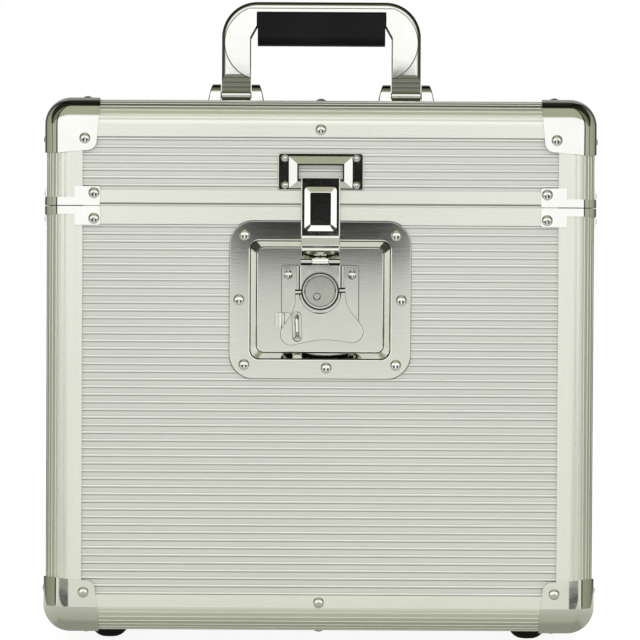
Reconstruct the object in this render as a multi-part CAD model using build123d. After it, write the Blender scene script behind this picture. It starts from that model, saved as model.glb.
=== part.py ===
"""Aluminium carrying case for twelve-inch records.

A box of laminated boards held in rounded aluminium edge extrusions, with steel corner caps, a lid on two stop
hinges, a folding handle on the lid and a recessed turn-key latch on the front.
Millimetres. +X is right, +Y is back (the latch faces -Y) and +Z is up. The origin is on the floor under the middle.
"""

from build123d import *
from math import asin, cos, degrees, radians, sin, sqrt
import os

os.makedirs("parts", exist_ok=True)

# ---------------------------------------------------------------- driving dimensions
# Case shell, over the flat faces of the edge extrusions
case_width = 350.0
case_depth = 260.0
shell_height = 339.0
lid_height = 68.0
parting_gap = 0.6

# Wall build-up, each layer measured inwards from the extrusion's outer face
flange_thickness = 1.2
skin_thickness = 1.05
rib_pitch = 4.87
rib_width = 2.2
rib_height = 0.45
first_rib = 3.5
board_thickness = 4.0
slot_clearance = 0.2
lining_thickness = 2.0

# Edge extrusion
edge_radius = 16.0
flange_width = 23.9
flute_count = 7
flute_radius = 0.55
panel_clearance = 0.3
end_clearance = 0.2

# Rim extrusions at the parting line
body_rim_height = 11.3
lid_rim_height = 9.8
rim_web = 1.5
tongue_thickness = 1.5
tongue_height = 3.0
tongue_depth = 3.2
groove_clearance = 0.7
groove_roof = 1.2

# Pressed steel corner caps and rim clips. What is named past is measured from the extrusion's edge.
cap_past = 10.6
cap_thickness = 1.2
cap_clearance = 0.1
cap_corner_radius = 6.0
cap_lobe_drop = 2.2
cap_rivet_past = 1.4
clip_strap_height = 5.1
clip_tab_height = 12.0
clip_tab_past = -5.0
clip_past = 11.2
clip_rivet_past = 7.3
clip_rivet_height = 7.8

# Rivets
rivet_head_radius = 3.5
small_head_radius = 2.3
rivet_head_height = 1.5
rivet_radius = 1.6
rivet_clearance = 0.1
rivet_length = 5.0
trim_rivet_past = -4.7

# Rubber feet
foot_height = 8.0
foot_radius = 11.0
foot_flat_radius = 5.0
foot_dome = 4.6
foot_past_x = 15.4
foot_past_y = 24.1
foot_screw_head = 3.2
foot_screw_head_height = 2.4
foot_screw_recess = 4.0
foot_screw_radius = 1.8
foot_screw_length = 7.0

# Hinges
hinge_spacing = 190.0
hinge_width = 50.0
hinge_leaf_height = 24.0
hinge_leaf_thickness = 1.5
hinge_barrel_radius = 3.0
hinge_pin_radius = 1.4
hinge_pin_clearance = 0.05
hinge_back_clearance = 0.2
hinge_knuckle_gap = 0.3
hinge_open_angle = 100.0
hinge_heel_length = 4.0
hinge_heel_thickness = 1.6
hinge_rivet_height = 17.5
hinge_rivet_spacing = 34.0

# Latch dish
dish_width = 115.6
dish_height = 100.4
dish_corner_radius = 15.3
dish_thickness = 1.2
dish_opening_width = 88.7
dish_opening_height = 74.8
dish_opening_radius = 5.5
dish_depth = 12.0
dish_draft_width = 3.8
dish_overlap = 2.5
dish_lip_radius = 1.5
dish_floor_radius = 1.0
dish_floor_corner = 4.6
dish_rivet_inset_x = 9.6
dish_rivet_inset_z = 9.0
dish_side_rivet_inset = 6.2
dish_low_rivet_inset = 7.1
dish_low_rivet_x = 4.0
dish_cut_clearance = 0.4

# Latch base plate and its bridge
base_plate_width = 49.0
base_plate_drop = 30.0
base_plate_thickness = 1.2
bridge_width = 26.6
bridge_foot_width = 31.0
bridge_rise = 16.4
bridge_drop = 13.5
bridge_height = 5.7
plate_rivet_inset_x = 4.1
plate_rivet_head = 2.9
plate_rivet_inset_z = 6.0

# Turn key: rotor, wing and eccentric
key_drop = 44.6
key_rest_turn = 2.5
rotor_rim_radius = 12.0
rotor_face_radius = 10.1
rotor_face_recess = 0.8
rotor_stand = 9.3
rotor_rivet_x = -2.2
rotor_rivet_drop = 3.3
rotor_rim_depth = 3.0
rotor_shaft_radius = 8.0
rotor_shaft_clearance = 0.1
eccentric = 2.4
eccentric_pin_radius = 2.0
wing_thickness = 1.2
wing_clearance = 1.2
wing_cut_drop = 1.0
wing_ear_reach = 1.4
wing_ear_radius = 1.7
wing_axis_stand = 7.9
wing_pin_radius = 1.0
wing_pin_length = 4.8
wing_waist = 16.0
wing_lobe_x = 19.4
wing_lobe_drop = 26.6
wing_lobe_radius = 7.1
wing_belly = 31.1
wing_edge_radius = 0.35
wing_slot_x = 15.7
wing_slot_drop = 21.9
wing_slot_width = 5.8
wing_slot_length = 18.8
staple_wire_radius = 1.4
staple_span = 12.4
staple_gap = 0.3
spring_width = 9.0
spring_drop = 18.4
spring_sheet = 0.8

# Slider and hook
slider_thickness = 1.6
slider_gap = 0.5
slider_foot = 9.5
slot_play = 0.9
hook_width = 24.7
hook_thickness = 1.5
hook_pin_radius = 1.1
hook_pin_clearance = 0.05
hook_barrel_radius = 2.2
hook_knuckle_width = 10.2
hook_knuckle_gap = 0.3
hook_pivot_rise = 18.95
hook_leg_depth = 1.5
hook_leg_rise = 26.6
hook_bend_rise = 29.6
hook_plate_rise = 34.6
hook_plate_depth = 5.5
hook_lip_back = 0.6
hook_edge_radius = 0.6
pillow_width = 20.3
pillow_bottom = 3.6
pillow_height = 27.9
pillow_slope = 3.3
pillow_rise = 1.7

# Catch plate on the lid
catch_width = 54.6
catch_height = 24.0
catch_thickness = 1.2
catch_corner_radius = 2.5
catch_rise = 3.0
catch_frame_width = 40.4
catch_frame_height = 20.2
catch_window_width = 28.0
catch_window_height = 9.4
catch_window_drop = 8.0
catch_rim = 0.9
catch_edge_radius = 0.6
catch_rivet_inset_x = 4.6
catch_rivet_inset_z = 3.4
catch_lip_gap = 0.3

# Handle
handle_pivot_height = 10.4
handle_arm_inner = 47.6
handle_arm_outer = 67.0
handle_top = 62.7
handle_corner_radius = 24.0
handle_edge_radius = 3.6
handle_crown = 4.4
handle_band = 7.3
handle_sheet = 1.3
handle_arm_half_depth = 7.8
handle_cheek_half_depth = 9.0
handle_cheek_radius = 24.9
handle_cheek_x = 40.2
handle_cheek_z = 34.9
handle_cheek_edge = 0.6
handle_taper_top = 15.0
handle_barrel_radius = 3.6
handle_pin_radius = 2.0
handle_pin_clearance = 0.05
handle_shoulder_low = 38.3
handle_shoulder_high = 46.3
grip_half_length = 42.9
grip_half_depth = 10.0
grip_bottom = 33.4
grip_corner = 6.0
grip_clearance = 0.3
ear_thickness = 8.8
ear_gap = 0.7
ear_radius = 7.4
ear_lean = 3.4
ear_edge_radius = 0.8
ear_base_half_depth = 10.0
bracket_plate = 1.5
bracket_margin = 2.0
bracket_half_depth = 17.0
bracket_rivet_y = 13.2

# ---------------------------------------------------------------- derived levels
floor_z = foot_height
top_z = floor_z + shell_height
parting_z = top_z - lid_height
half_gap = parting_gap / 2
body_top = parting_z - half_gap
lid_bottom = parting_z + half_gap

skin_level = flange_thickness + 0.05
board_level = skin_level + skin_thickness
slot_level = board_level + board_thickness + slot_clearance
leg_level = slot_level + flange_thickness
lining_level = leg_level + slot_clearance
inner_level = lining_level + lining_thickness
panel_inset = edge_radius + panel_clearance

cap_size = flange_width + cap_past
cap_rivet_inset = flange_width + cap_rivet_past
clip_tab_start = flange_width + clip_tab_past
clip_length = flange_width + clip_past
clip_rivet_inset = flange_width + clip_rivet_past
trim_rivet_inset = flange_width + trim_rivet_past
foot_inset_x = flange_width + foot_past_x
foot_inset_y = flange_width + foot_past_y
rotor_front = dish_depth - rotor_stand
wing_axis_depth = dish_depth - wing_axis_stand

front_y = -case_depth / 2
left_x = -case_width / 2

# ---------------------------------------------------------------- helpers


def slab(x, y, z):
    """Box between two limits on each axis."""
    return Pos(sum(x) / 2, sum(y) / 2, sum(z) / 2) * Box(x[1] - x[0], y[1] - y[0], z[1] - z[0])


def rod(point, direction, radius, length):
    """Cylinder that starts at a point and runs along a direction."""
    seat = Plane(origin=point, z_dir=direction)
    return seat * Cylinder(radius, length, align=(Align.CENTER, Align.CENTER, Align.MIN))


def wall(side, depth, middle=(0, 0)):
    """Plane on a wall of the case, a depth in from its outer face: local X along the wall, local Z outwards.
    middle gives the height of the local origin on an upright wall."""
    reach_x, reach_y = case_width / 2 - depth, case_depth / 2 - depth
    frames = {
        "front": ((0, -reach_y, middle), (1, 0, 0), (0, -1, 0)),
        "back": ((0, reach_y, middle), (-1, 0, 0), (0, 1, 0)),
        "left": ((-reach_x, 0, middle), (0, -1, 0), (-1, 0, 0)),
        "right": ((reach_x, 0, middle), (0, 1, 0), (1, 0, 0)),
        "bottom": ((0, 0, floor_z + depth), (1, 0, 0), (0, 0, -1)),
        "top": ((0, 0, top_z - depth), (1, 0, 0), (0, 0, 1)),
    }
    origin, x_dir, z_dir = frames[side]
    return Plane(origin=origin, x_dir=x_dir, z_dir=z_dir)


def both_ways(shape):
    """A shape and its mirror image across the middle plane, left to right."""
    return [shape, mirror(shape, about=Plane.YZ)]


def four_ways(shape):
    """A shape at one corner of the plan, copied to all four."""
    return [m for s in both_ways(shape) for m in (s, mirror(s, about=Plane.XZ))]


def upside_down(shape):
    """A shape on the bottom of the shell, copied to the top."""
    return mirror(shape, about=Plane.XY.offset((floor_z + top_z) / 2))


def save(name, shapes):
    """Writes one node. Its solids stay separate."""
    solids = [s for shape in shapes for s in shape.solids()]
    node = solids[0] if len(solids) == 1 else Compound(children=solids)
    node.label = name
    export_step(node, f"parts/{name}.step")


# ---------------------------------------------------------------- rivets


def rivet(seat, head=rivet_head_radius):
    """Domed rivet on a seat (point, outward direction): its head outside and its shank inwards."""
    sphere_radius = (head**2 + rivet_head_height**2) / (2 * rivet_head_height)
    point, outward = seat
    with BuildPart() as made:
        with BuildSketch(Plane.XZ):
            with BuildLine():
                top = (0, rivet_head_height)
                edge = (head, 0)
                RadiusArc(top, edge, sphere_radius)
                Polyline(edge, (rivet_radius, 0), (rivet_radius, -rivet_length), (0, -rivet_length), top)
            make_face()
        revolve(axis=Axis.Z)
    return Plane(origin=point, z_dir=outward) * made.part


def drilled(shape, seats):
    """A shape with a clearance hole for the shank of each rivet."""
    for point, outward in seats:
        start = Vector(*point) + Vector(*outward) * 3
        inward = Vector(*outward) * -1
        shape = shape - rod(start, inward, rivet_radius + rivet_clearance, rivet_length + 4)
    return shape


def on_wall(side, x, z, lift=0.0):
    """Rivet seat on an upright wall: x along the wall from its middle, z the height, lift outwards from its face."""
    seat = wall(side, -lift, z)
    place = seat.origin + seat.x_dir * x
    return tuple(place), tuple(seat.z_dir)


def on_deck(side, x, y, lift=0.0):
    """Rivet seat on the top or the bottom face."""
    seat = wall(side, -lift)
    return (x, y, seat.origin.Z), tuple(seat.z_dir)


# ---------------------------------------------------------------- edge extrusions


def edge_profile():
    """Section of the edge extrusion: a fluted rounded angle outside, a square angle inside, and a web that joins
    them at the corner. The laminated panels slide into the two slots between."""
    outer = RectangleRounded(2 * case_depth, 2 * case_depth, edge_radius, align=(Align.MIN, Align.MIN))
    inner = Pos(flange_thickness, flange_thickness) * RectangleRounded(
        2 * case_depth, 2 * case_depth, edge_radius - flange_thickness, align=(Align.MIN, Align.MIN)
    )
    reach = Rectangle(flange_width, flange_width, align=(Align.MIN, Align.MIN))
    skin = (outer - inner) & reach
    leg_reach = flange_width - slot_level
    leg = Pos(slot_level, slot_level) * (
        Rectangle(leg_reach, flange_thickness, align=(Align.MIN, Align.MIN))
        + Rectangle(flange_thickness, leg_reach, align=(Align.MIN, Align.MIN))
    )
    web_out = edge_radius - (edge_radius - flange_thickness / 2) * cos(radians(45))
    web_in = slot_level + flange_thickness / 2
    web_length = (web_in - web_out) * sqrt(2)
    web_middle = (web_in + web_out) / 2
    web = Pos(web_middle, web_middle) * Rot(0, 0, 45) * Rectangle(web_length, flange_thickness * 2)
    section = skin + leg + web
    step = 90 / (flute_count + 1)
    for n in range(1, flute_count + 1):
        angle = radians(n * step)
        place = Pos(edge_radius * (1 - cos(angle)), edge_radius * (1 - sin(angle)))
        section -= place * Circle(flute_radius)
    return section


def corner_post(z_low, z_high):
    """Upright edge extrusion at the front left corner."""
    seat = Plane(origin=(left_x, front_y, z_low), x_dir=(1, 0, 0), z_dir=(0, 0, 1))
    return extrude(seat * edge_profile(), z_high - z_low)


def bottom_trims():
    """The four level edge extrusions round the bottom of the shell."""
    start = flange_width + end_clearance
    long_way = case_width - 2 * start
    short_way = case_depth - 2 * start
    front = extrude(
        Plane(origin=(left_x + start, front_y, floor_z), x_dir=(0, 1, 0), z_dir=(1, 0, 0)) * edge_profile(),
        long_way,
    )
    left = extrude(
        Plane(origin=(left_x, short_way / 2, floor_z), x_dir=(1, 0, 0), z_dir=(0, -1, 0)) * edge_profile(),
        short_way,
    )
    return [front, mirror(front, about=Plane.XZ), *both_ways(left)]


def trim_rivet_seats(deck):
    """Rivets at the middle of each level extrusion, one on each of its two flanges."""
    height = floor_z + trim_rivet_inset if deck == "bottom" else top_z - trim_rivet_inset
    seats = [on_wall(side, 0, height) for side in ("front", "back", "left", "right")]
    reach_x = case_width / 2 - trim_rivet_inset
    reach_y = case_depth / 2 - trim_rivet_inset
    return seats + [on_deck(deck, x, y) for x, y in ((reach_x, 0), (-reach_x, 0), (0, reach_y), (0, -reach_y))]


# ---------------------------------------------------------------- rims


def body_rim_section():
    """Section of the body's rim: local X inwards from the outer face, local Y up from the parting plane."""
    band = Rectangle(flange_thickness, body_rim_height, align=(Align.MIN, Align.MAX))
    leg = Pos(slot_level, 0) * Rectangle(flange_thickness, body_rim_height, align=(Align.MIN, Align.MAX))
    web = Rectangle(leg_level, rim_web, align=(Align.MIN, Align.MAX))
    tongue = Pos(tongue_depth, 0) * Rectangle(tongue_thickness, tongue_height, align=(Align.MIN, Align.MIN))
    section = band + leg + web + tongue
    tip = section.vertices().group_by(Axis.Y)[-1]
    return fillet(tip, tongue_thickness / 3)


def lid_rim_section():
    """Section of the lid's rim, with the groove that takes the tongue."""
    roof = tongue_height + groove_clearance / 2
    band = Rectangle(flange_thickness, lid_rim_height, align=(Align.MIN, Align.MIN))
    leg = Pos(slot_level, 0) * Rectangle(flange_thickness, lid_rim_height, align=(Align.MIN, Align.MIN))
    block = Rectangle(leg_level, roof + groove_roof, align=(Align.MIN, Align.MIN))
    groove_width = tongue_thickness + 2 * groove_clearance
    groove = Pos(tongue_depth - groove_clearance, 0) * Rectangle(groove_width, roof, align=(Align.MIN, Align.MIN))
    return band + leg + block - groove


def rim_lengths(section, height):
    """Four straight lengths of a rim section, between the corner posts."""
    start = flange_width + end_clearance
    long_way = case_width - 2 * start
    short_way = case_depth - 2 * start
    front = extrude(
        Plane(origin=(left_x + start, front_y, height), x_dir=(0, 1, 0), z_dir=(1, 0, 0)) * section, long_way
    )
    left = extrude(
        Plane(origin=(left_x, short_way / 2, height), x_dir=(1, 0, 0), z_dir=(0, -1, 0)) * section, short_way
    )
    return [front, mirror(front, about=Plane.XZ), *both_ways(left)]


# ---------------------------------------------------------------- panels


def ribbed_sheet(length, span):
    """Flat sheet with narrow round ribs along local X, its back on the local XY plane. The first rib stands at a
    set distance from the lower edge."""
    count = int((span - first_rib - rib_width / 2) // rib_pitch) + 1
    flat = skin_thickness - rib_height
    with BuildPart() as made:
        with BuildSketch(Plane.YZ.offset(-length / 2)):
            with BuildLine():
                last = (-span / 2, flat)
                for n in range(count):
                    middle = -span / 2 + first_rib + n * rib_pitch
                    low, high = (middle - rib_width / 2, flat), (middle + rib_width / 2, flat)
                    Line(last, low)
                    ThreePointArc(low, (middle, skin_thickness), high)
                    last = high
                Polyline(last, (span / 2, flat), (span / 2, 0), (-span / 2, 0), (-span / 2, flat))
            make_face()
        extrude(amount=length)
    return made.part


def board(length, span):
    """Plain board with its outer face on the local XY plane."""
    return Box(length, span, board_thickness, align=(Align.CENTER, Align.CENTER, Align.MAX))


def plan_size(side):
    """Length of the panel on an upright wall."""
    return (case_width if side in ("front", "back") else case_depth) - 2 * panel_inset


body_panel_low = floor_z + panel_inset
body_panel_high = body_top - rim_web - slot_clearance
lid_roof = tongue_height + groove_clearance / 2 + groove_roof
lid_panel_low = lid_bottom + lid_roof + slot_clearance
lid_panel_high = top_z - panel_inset


def wall_panel(side, low, high):
    """Skin and board of an upright wall between two heights."""
    middle = (low + high) / 2
    skin = wall(side, board_level, middle) * ribbed_sheet(plan_size(side), high - low)
    core = wall(side, board_level, middle) * board(plan_size(side), high - low)
    return skin, core


def deck_panel(side, ribbed):
    """Skin and board of the top or the bottom."""
    length, span = case_width - 2 * panel_inset, case_depth - 2 * panel_inset
    if ribbed:
        sheet = ribbed_sheet(length, span)
    else:
        sheet = Box(length, span, skin_thickness, align=(Align.CENTER, Align.CENTER, Align.MIN))
    return wall(side, board_level) * sheet, wall(side, board_level) * board(length, span)


# ---------------------------------------------------------------- linings


def wall_lining(side, low, high):
    """Soft lining sheet on an upright wall. The side sheets butt against the front and back ones."""
    if side in ("front", "back"):
        length = case_width - 2 * lining_level
    else:
        length = case_depth - 2 * (inner_level + end_clearance)
    sheet = Box(length, high - low, lining_thickness, align=(Align.CENTER, Align.CENTER, Align.MAX))
    return wall(side, lining_level, (low + high) / 2) * sheet


def deck_lining(side):
    """Soft lining sheet on the floor or under the lid's top."""
    sheet = Box(
        case_width - 2 * lining_level,
        case_depth - 2 * lining_level,
        lining_thickness,
        align=(Align.CENTER, Align.CENTER, Align.MAX),
    )
    return wall(side, lining_level) * sheet


# ---------------------------------------------------------------- corner caps and clips


def rounded_corner(grow):
    """Bottom front left corner of the shell as a solid, grown outwards, its three edges and its corner rounded."""
    size = cap_size * 3
    low = (left_x - grow, front_y - grow, floor_z - grow)
    block = Pos(*low) * Box(size, size, size, align=(Align.MIN, Align.MIN, Align.MIN))
    corner = Vector(*low)
    edges = [e for e in block.edges() if min((e @ 0 - corner).length, (e @ 1 - corner).length) < 1e-6]
    return fillet(edges, edge_radius + grow)


def corner_cap():
    """Three-way pressed cap on the bottom front left corner. On each face it ends in a lobe with a rounded corner,
    past the edges of the extrusions, where it is riveted."""
    outer = cap_clearance + cap_thickness
    reach = cap_size + outer
    window = Pos(left_x - outer, front_y - outer, floor_z - outer) * Box(
        reach, reach, reach, align=(Align.MIN, Align.MIN, Align.MIN)
    )
    shell = (rounded_corner(outer) - rounded_corner(cap_clearance)) & window
    for seat in cap_faces():
        shell -= seat * Pos(0, 0, -4) * extrude(lobe_trim(), 8)
    return shell


def lobe_trim():
    """What is cut off one face of the cap: all that lies past the lobe's two slanted edges and its round corner."""
    lobe = cap_size - cap_lobe_drop
    bend = edge_radius / 2
    outline = [(-bend, -bend), (cap_size, -bend), (cap_size, bend), (lobe, lobe), (bend, cap_size), (-bend, cap_size)]
    face = Polygon(*outline, align=None)
    corner = [v for v in face.vertices() if abs(v.X - lobe) < 0.01 and abs(v.Y - lobe) < 0.01]
    square = Pos(-bend, -bend) * Rectangle(2 * cap_size, 2 * cap_size, align=(Align.MIN, Align.MIN))
    return square - fillet(corner, cap_corner_radius)


def cap_faces():
    """Planes on the three faces at the bottom front left corner: local X and Y run inwards from the corner."""
    corner = (left_x, front_y, floor_z)
    return [
        Plane(origin=corner, x_dir=(1, 0, 0), z_dir=(0, -1, 0)),
        Plane(origin=corner, x_dir=(0, 0, 1), z_dir=(-1, 0, 0)),
        Plane(origin=corner, x_dir=(0, 1, 0), z_dir=(0, 0, -1)),
    ]


def cap_rivet_seats(deck):
    """Rivets of the four caps of one deck, one on each face of each cap."""
    height = floor_z + cap_rivet_inset if deck == "bottom" else top_z - cap_rivet_inset
    reach_x = case_width / 2 - cap_rivet_inset
    reach_y = case_depth / 2 - cap_rivet_inset
    lift = cap_thickness + cap_clearance
    seats = []
    for sign in (-1, 1):
        seats += [on_wall(side, sign * reach_x, height, lift) for side in ("front", "back")]
        seats += [on_wall(side, sign * reach_y, height, lift) for side in ("left", "right")]
        seats += [on_deck(deck, sign * reach_x, y, lift) for y in (-reach_y, reach_y)]
    return seats


def rim_clip():
    """Pressed clip round the front left corner just under the parting line, over the post and the rim."""
    outer = cap_clearance + cap_thickness
    reach = clip_length + outer
    size = reach * 3
    big = Pos(left_x - outer, front_y - outer) * RectangleRounded(
        size, size, edge_radius + outer, align=(Align.MIN, Align.MIN)
    )
    small = Pos(left_x - cap_clearance, front_y - cap_clearance) * RectangleRounded(
        size, size, edge_radius + cap_clearance, align=(Align.MIN, Align.MIN)
    )
    window = Pos(left_x - outer, front_y - outer) * Rectangle(reach, reach, align=(Align.MIN, Align.MIN))
    ring = (big - small) & window
    whole = extrude(Pos(0, 0, body_top - clip_tab_height) * ring, clip_tab_height)
    middle = clip_tab_start + outer
    under = Pos(left_x - outer, front_y - outer, body_top - clip_strap_height) * Box(
        middle, middle, clip_tab_height, align=(Align.MIN, Align.MIN, Align.MAX)
    )
    clip = whole - under
    ends = clip.edges().filter_by(lambda e: e.length < cap_thickness + 0.01).filter_by(Plane.XY)
    far = [e for e in ends if max(e.center().X - left_x, e.center().Y - front_y) > clip_length - 0.5]
    return fillet(far, 1.5)


def clip_rivet_seats(height):
    """Two rivets for each of the four clips of one rim."""
    lift = cap_thickness + cap_clearance
    seats = []
    for sign in (-1, 1):
        x = sign * (case_width / 2 - clip_rivet_inset)
        y = sign * (case_depth / 2 - clip_rivet_inset)
        seats += [on_wall(side, x, height, lift) for side in ("front", "back")]
        seats += [on_wall(side, y, height, lift) for side in ("left", "right")]
    return seats


# ---------------------------------------------------------------- feet


def foot():
    """Domed rubber foot with a recess for its screw, at the front left."""
    height = floor_z + flange_thickness + 0.05
    with BuildPart() as made:
        with BuildSketch(Plane.XZ):
            with BuildLine():
                flat, side = (foot_flat_radius, 0), (foot_radius, foot_dome)
                bulge = (foot_radius + foot_flat_radius) / 2 + foot_dome / 8, foot_dome * 3 / 8
                ThreePointArc(flat, bulge, side)
                Polyline(side, (foot_radius, height), (0, height), (0, 0), flat)
            make_face()
        revolve(axis=Axis.Z)
    recess = Cylinder(foot_screw_head + 0.4, foot_screw_recess + foot_screw_head_height,
                      align=(Align.CENTER, Align.CENTER, Align.MIN))
    hole = Cylinder(foot_screw_radius + rivet_clearance, height * 2)
    return foot_place() * (made.part - recess - hole)


def foot_place():
    return Pos(left_x + foot_inset_x, front_y + foot_inset_y, 0)


def foot_screw():
    """Pan-head screw that holds a foot to the bottom board."""
    head = Cylinder(foot_screw_head, foot_screw_head_height, align=(Align.CENTER, Align.CENTER, Align.MIN))
    head = fillet(head.edges().sort_by(Axis.Z)[0], 1.0)
    shank = Cylinder(foot_screw_radius, foot_screw_length + foot_screw_head_height,
                     align=(Align.CENTER, Align.CENTER, Align.MIN))
    return foot_place() * Pos(0, 0, foot_screw_recess) * (head + shank)


def foot_hole():
    """Clearance hole for a foot's screw, through the bottom skin and board."""
    return foot_place() * Cylinder(foot_screw_radius + rivet_clearance, 60)


# ---------------------------------------------------------------- hinges

hinge_axis_y = case_depth / 2 + hinge_back_clearance + hinge_barrel_radius
hinge_third = (hinge_width - 2 * hinge_knuckle_gap) / 3


def hinge_knuckle(x_low, x_high):
    """Solid knuckle on the hinge axis."""
    return rod((x_low, hinge_axis_y, parting_z), (1, 0, 0), hinge_barrel_radius, x_high - x_low)


def hinge_leaf(upward):
    """One leaf of a hinge centred on X = 0. The lid's leaf (upward) has the two outer knuckles and their stop heels,
    and the body's leaf has the middle knuckle."""
    sign = 1 if upward else -1
    y = (case_depth / 2, case_depth / 2 + hinge_leaf_thickness)
    half = hinge_width / 2
    far = parting_z + sign * hinge_leaf_height
    clear = parting_z + sign * (hinge_barrel_radius + 0.4)
    plate = slab((-half, half), y, tuple(sorted((clear, far))))
    corners = plate.edges().filter_by(Axis.Y).filter_by(lambda e: abs(e.center().Z - far) < 0.01)
    plate = fillet(corners, 4.0)
    inner = hinge_third / 2
    spans = [(-half, -inner - hinge_knuckle_gap), (inner + hinge_knuckle_gap, half)] if upward else [(-inner, inner)]
    for low, high in spans:
        plate += slab((low, high), (y[0] + hinge_back_clearance, y[1]), tuple(sorted((parting_z, clear))))
        plate += hinge_knuckle(low, high)
        if upward:
            plate += hinge_heel(low, high)
    bore = rod((-half, hinge_axis_y, parting_z), (1, 0, 0), hinge_pin_radius + hinge_pin_clearance, hinge_width)
    return plate - bore


def hinge_heel(low, high):
    """Stop heel of the lid's leaf. At the open angle it lands on the body's leaf, which lies straight below."""
    reach = hinge_barrel_radius + hinge_heel_length
    tab = slab((low, high), (hinge_barrel_radius / 2, reach), (-hinge_heel_thickness / 2, hinge_heel_thickness / 2))
    lean = degrees_to_land(reach)
    return Pos(0, hinge_axis_y, parting_z) * Rot(lean, 0, 0) * tab


def degrees_to_land(reach):
    """Angle above the horizontal at which the closed lid's heel stands, so that it meets the leaf when fully open."""
    leaf_face = hinge_back_clearance + hinge_barrel_radius - hinge_leaf_thickness
    contact = leaf_face + hinge_heel_thickness / 2
    return hinge_open_angle - 90 + degrees(asin(contact / reach)) + 1.0


def hinge_pin():
    """Pin through the three knuckles, with a low head at each end."""
    half = hinge_width / 2
    pin = rod((-half, hinge_axis_y, parting_z), (1, 0, 0), hinge_pin_radius, hinge_width)
    for x, way in ((-half, -1), (half, 1)):
        pin += rod((x + way * 0.1, hinge_axis_y, parting_z), (way, 0, 0), hinge_pin_radius * 1.5, 1.0)
        pin += rod((x, hinge_axis_y, parting_z), (way, 0, 0), hinge_pin_radius, 0.5)
    return pin


def hinge_rivet_seats(upward):
    """Rivets of both hinges on the lid or on the body."""
    sign = 1 if upward else -1
    height = parting_z + sign * hinge_rivet_height
    return [
        on_wall("back", hinge + offset, height, hinge_leaf_thickness)
        for hinge in (-hinge_spacing / 2, hinge_spacing / 2)
        for offset in (-hinge_rivet_spacing / 2, 0, hinge_rivet_spacing / 2)
    ]


def at_hinges(shape):
    return [Pos(x, 0, 0) * shape for x in (-hinge_spacing / 2, hinge_spacing / 2)]


# ---------------------------------------------------------------- latch dish

dish_top = body_top - body_rim_height + dish_overlap
dish_z = dish_top - dish_height / 2
key_z = dish_top - key_drop
floor_depth = dish_depth


def latch_plane(depth, height=0.0):
    """Upright plane facing the front, a depth behind the front face: local X right, local Y up from the key axis,
    local Z to the front."""
    return Plane(origin=(0, front_y + depth, key_z + height), x_dir=(1, 0, 0), z_dir=(0, -1, 0))


def dish_pocket(grow, depth):
    """Tapered pocket of the dish, a little narrower at its floor, grown outwards by a thickness."""
    narrow = 2 * dish_draft_width
    height = dish_z - key_z
    mouth = RectangleRounded(
        dish_opening_width + 2 * grow, dish_opening_height + 2 * grow, dish_opening_radius + grow
    )
    floor = RectangleRounded(
        dish_opening_width + 2 * grow - narrow, dish_opening_height + 2 * grow - narrow, dish_floor_corner + grow
    )
    return loft([latch_plane(0, height) * mouth, latch_plane(depth, height) * floor])


def latch_dish():
    """Drawn dish: a flange that lies on the ribs, and a tapered pocket through the wall."""
    flange_face = latch_plane(0, dish_z - key_z) * RectangleRounded(dish_width, dish_height, dish_corner_radius)
    flange = extrude(flange_face, -dish_thickness)
    inside = dish_pocket(0, dish_depth)
    floor = inside.faces().sort_by(Axis.Y)[-1]
    inside = fillet(floor.edges(), dish_floor_radius)
    dish = flange + dish_pocket(dish_thickness, dish_depth + dish_thickness) - inside
    face = dish.faces().sort_by(Axis.Y)[0]
    lip = face.inner_wires()[0].edges()
    dish = fillet(lip, dish_lip_radius)
    rim = dish.faces().sort_by(Axis.Y)[0].outer_wire().edges()
    return fillet(rim, dish_thickness / 2)


def dish_window():
    """Hole that the dish's pocket needs through the wall."""
    grow = 2 * (dish_thickness + dish_cut_clearance)
    size = (dish_opening_width + grow, dish_opening_height + grow)
    face = latch_plane(-1, dish_z - key_z) * RectangleRounded(*size, dish_opening_radius)
    return extrude(face, -(leg_level + 12))


def dish_relief():
    """Pocket in the rim's band for the top of the dish's flange."""
    size = (dish_width + 2 * dish_cut_clearance, dish_height + 2 * dish_cut_clearance)
    face = latch_plane(-1, dish_z - key_z) * RectangleRounded(*size, dish_corner_radius)
    return extrude(face, -(1 + dish_thickness + 0.05))


def dish_rivet_seats():
    """Seven rivets round the dish's flange: four corners, two sides and one near the bottom middle."""
    x = dish_width / 2 - dish_rivet_inset_x
    z = dish_height / 2 - dish_rivet_inset_z
    side = dish_width / 2 - dish_side_rivet_inset
    low = dish_height / 2 - dish_low_rivet_inset
    places = [(-x, z), (x, z), (-side, 0), (side, 0), (-x, -z), (x, -z), (dish_low_rivet_x, -low)]
    return [on_wall("front", px, dish_z + pz) for px, pz in places]


def front_lining():
    """Front lining sheet, with a blister that covers the back of the dish."""
    sheet = wall_lining("front", floor_z + inner_level + end_clearance, body_top - slot_clearance)
    back = dish_depth + dish_thickness + slot_clearance
    margin = 2 * lining_thickness
    span = dish_opening_width + margin, dish_opening_height + margin
    blister = latch_plane(lining_level, dish_z - key_z) * RectangleRounded(*span, dish_opening_radius)
    blister = extrude(blister, -(back + lining_thickness - lining_level))
    hollow_size = dish_opening_width, dish_opening_height
    hollow = latch_plane(lining_level - 1, dish_z - key_z) * RectangleRounded(*hollow_size, dish_opening_radius)
    return sheet + blister - extrude(hollow, -(back - lining_level + 1))


# ---------------------------------------------------------------- latch base plate

plate_level = floor_depth - base_plate_thickness
bridge_level = floor_depth - bridge_height
bridge_top = bridge_rise


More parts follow.
